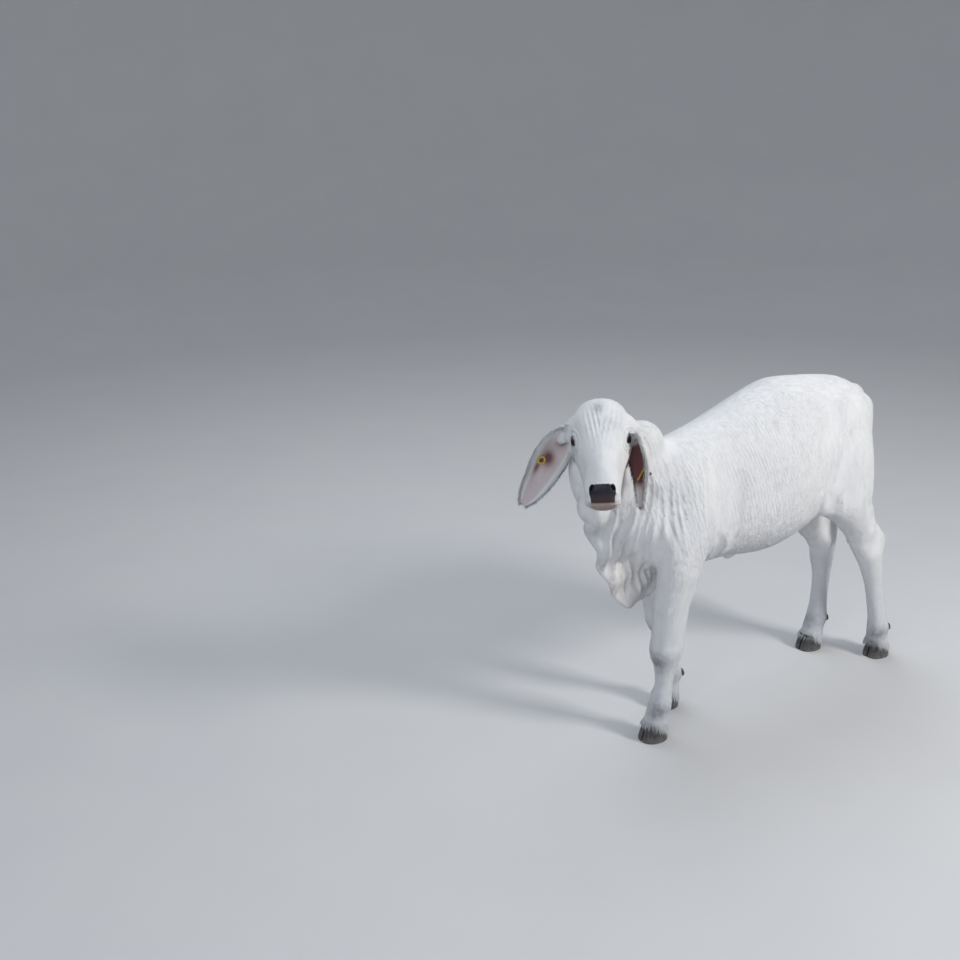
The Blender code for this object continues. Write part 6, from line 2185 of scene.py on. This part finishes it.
# %% [markdown]
# ## Plate tag
#
# The plate hangs inside the left ear and shows almost edge on. Its outline is a square with rounded
# corners. Rings of it are drawn in a little towards both faces, and the front face has a shallow well
# inside its rim, as moulded plates do.

# %% Plate
PLATE_LONG = (0.663, -0.502, -0.551)
PLATE_FACE = (0.299, 0.855, -0.419)
PLATE_HALF = (0.018, 0.010, 0.0012)
PLATE_LIFT = 0.011
PLATE_POINTS = 64
PLATE_SQUARE = 0.42
# Rings of the plate: depth as a share of half its thickness, how far it is drawn in.
PLATE_RINGS = ((-1, 0.0012), (-0.8, 0.0003), (-0.4, 0), (0.4, 0), (0.8, 0.0003), (1, 0.0012),
               (0.92, 0.0022), (0.92, 0.0030))


def squared(wave):
    """Push a sine or cosine out towards the corners of a square."""
    return math.copysign(abs(wave) ** PLATE_SQUARE, wave)


long_way = HEAD_TURNING @ Vector(PLATE_LONG)
thin_way = HEAD_TURNING @ Vector(PLATE_FACE)
thin_way -= long_way * thin_way.dot(long_way) / long_way.length_squared
turn = Matrix((long_way, long_way.cross(thin_way), thin_way)).transposed()
for column in range(3):
    turn.col[column].normalize()
place = Matrix.Translation(spot + face * PLATE_LIFT) @ turn.to_4x4()
rings = []
for depth, inset in PLATE_RINGS:
    ring = []
    for k in range(PLATE_POINTS):
        angle = 2 * math.pi * k / PLATE_POINTS
        x = squared(math.cos(angle)) * (PLATE_HALF[0] - inset)
        y = squared(math.sin(angle)) * (PLATE_HALF[1] - inset)
        ring.append(place @ Vector((x, y, depth * PLATE_HALF[2])))
    rings.append(ring)
bm = bmesh.new()
loft(bm, rings)
plate = new_object("finished_tag_left_plate", bm)
dress(plate, tag_yellow, "tag_yellow", "tag_left_plate", crease=TAG_CREASE)
print("Blank plate of", 2000 * PLATE_HALF[0], "x", 2000 * PLATE_HALF[1], "mm made")

# %% [markdown]
# ## Tail switch
#
# The tail ends in a switch of long dark hair that hangs in flat, slightly twisted locks. Each lock is
# a tapered loft with a soft bulge, and turns round the tail by a fixed angle from the last, so that
# they overlap on every side.

# %% Hair of the switch
SWITCH_DARK = (0.055, 0.050, 0.050)
SWITCH_BROWN = (0.200, 0.180, 0.170)
SWITCH_FADED = (0.34, 0.31, 0.29)
SWITCH_RELIEF = 0.0012

switch_finish, tree, shader = new_material("dark_switch_hair")
strands = noise(tree, 210.0, 3.0, (1.0, 1.0, 0.05))
colour = mixed(tree, ramp(tree, strands, 0.35, 0.70), SWITCH_DARK, SWITCH_BROWN)
faded = ramp(tree, noise(tree, 30.0, 3.0), 0.45, 0.70, 0.0, 0.5)
tree.links.new(mixed(tree, faded, colour, SWITCH_FADED), shader.inputs["Base Color"])
shader.inputs["Roughness"].default_value = 0.6
bump(tree, shader, strands, SWITCH_RELIEF, 0.9)
print("Hair of the switch made")

# %% Locks of the switch
LOCKS = 72
LOCK_TURN = 2.4
LOCK_ROOT = (0.430, 0.0, 0.478)
LOCK_TIP = 0.335
LOCK_BULGE = 0.013
LOCK_WIDTH = 0.0062
LOCK_RINGS = 12
LOCK_POINTS = 7
LOCK_FLATNESS = 0.30
LOCK_SEED = 11

chance = np.random.default_rng(LOCK_SEED)
bm = bmesh.new()
for number in range(LOCKS):
    turn = LOCK_TURN * number + chance.uniform(-0.2, 0.2)
    root_z = LOCK_ROOT[2] + 0.010 - 0.045 * (number % 6) / 5
    tip_z = LOCK_TIP + chance.uniform(0.0, 0.095)
    bulge = LOCK_BULGE * chance.uniform(0.35, 1.0)
    out_way = Vector((math.cos(turn), math.sin(turn), 0))
    swing = Vector((math.cos(turn + 1.1), math.sin(turn + 1.1), 0)) * chance.uniform(0.002, 0.008)
    width = LOCK_WIDTH * chance.uniform(0.7, 1.15)
    rings = []
    for k in range(LOCK_RINGS):
        share = k / (LOCK_RINGS - 1)
        fullness = math.sin(math.pi * min(share * 0.95 + 0.02, 1))
        centre = Vector((LOCK_ROOT[0], LOCK_ROOT[1], root_z + (tip_z - root_z) * share))
        ripple = 0.0012 * math.sin(7 * share + number)
        centre += out_way * (0.0035 + bulge * fullness) + swing * (share ** 2) + swing * (ripple / 0.006)
        girth = width * (1 - share) ** 0.6 * min(1.0, 0.45 + 3 * share) + 0.0004
        rings.append(circle(centre, (0, 0, -1), girth, LOCK_POINTS, LOCK_FLATNESS, face=out_way))
    loft(bm, rings)
switch = new_object("finished_tail_switch", bm)
dress(switch, switch_finish, "switch_hair", "tail_switch")
print("Switch of", LOCKS, "locks")
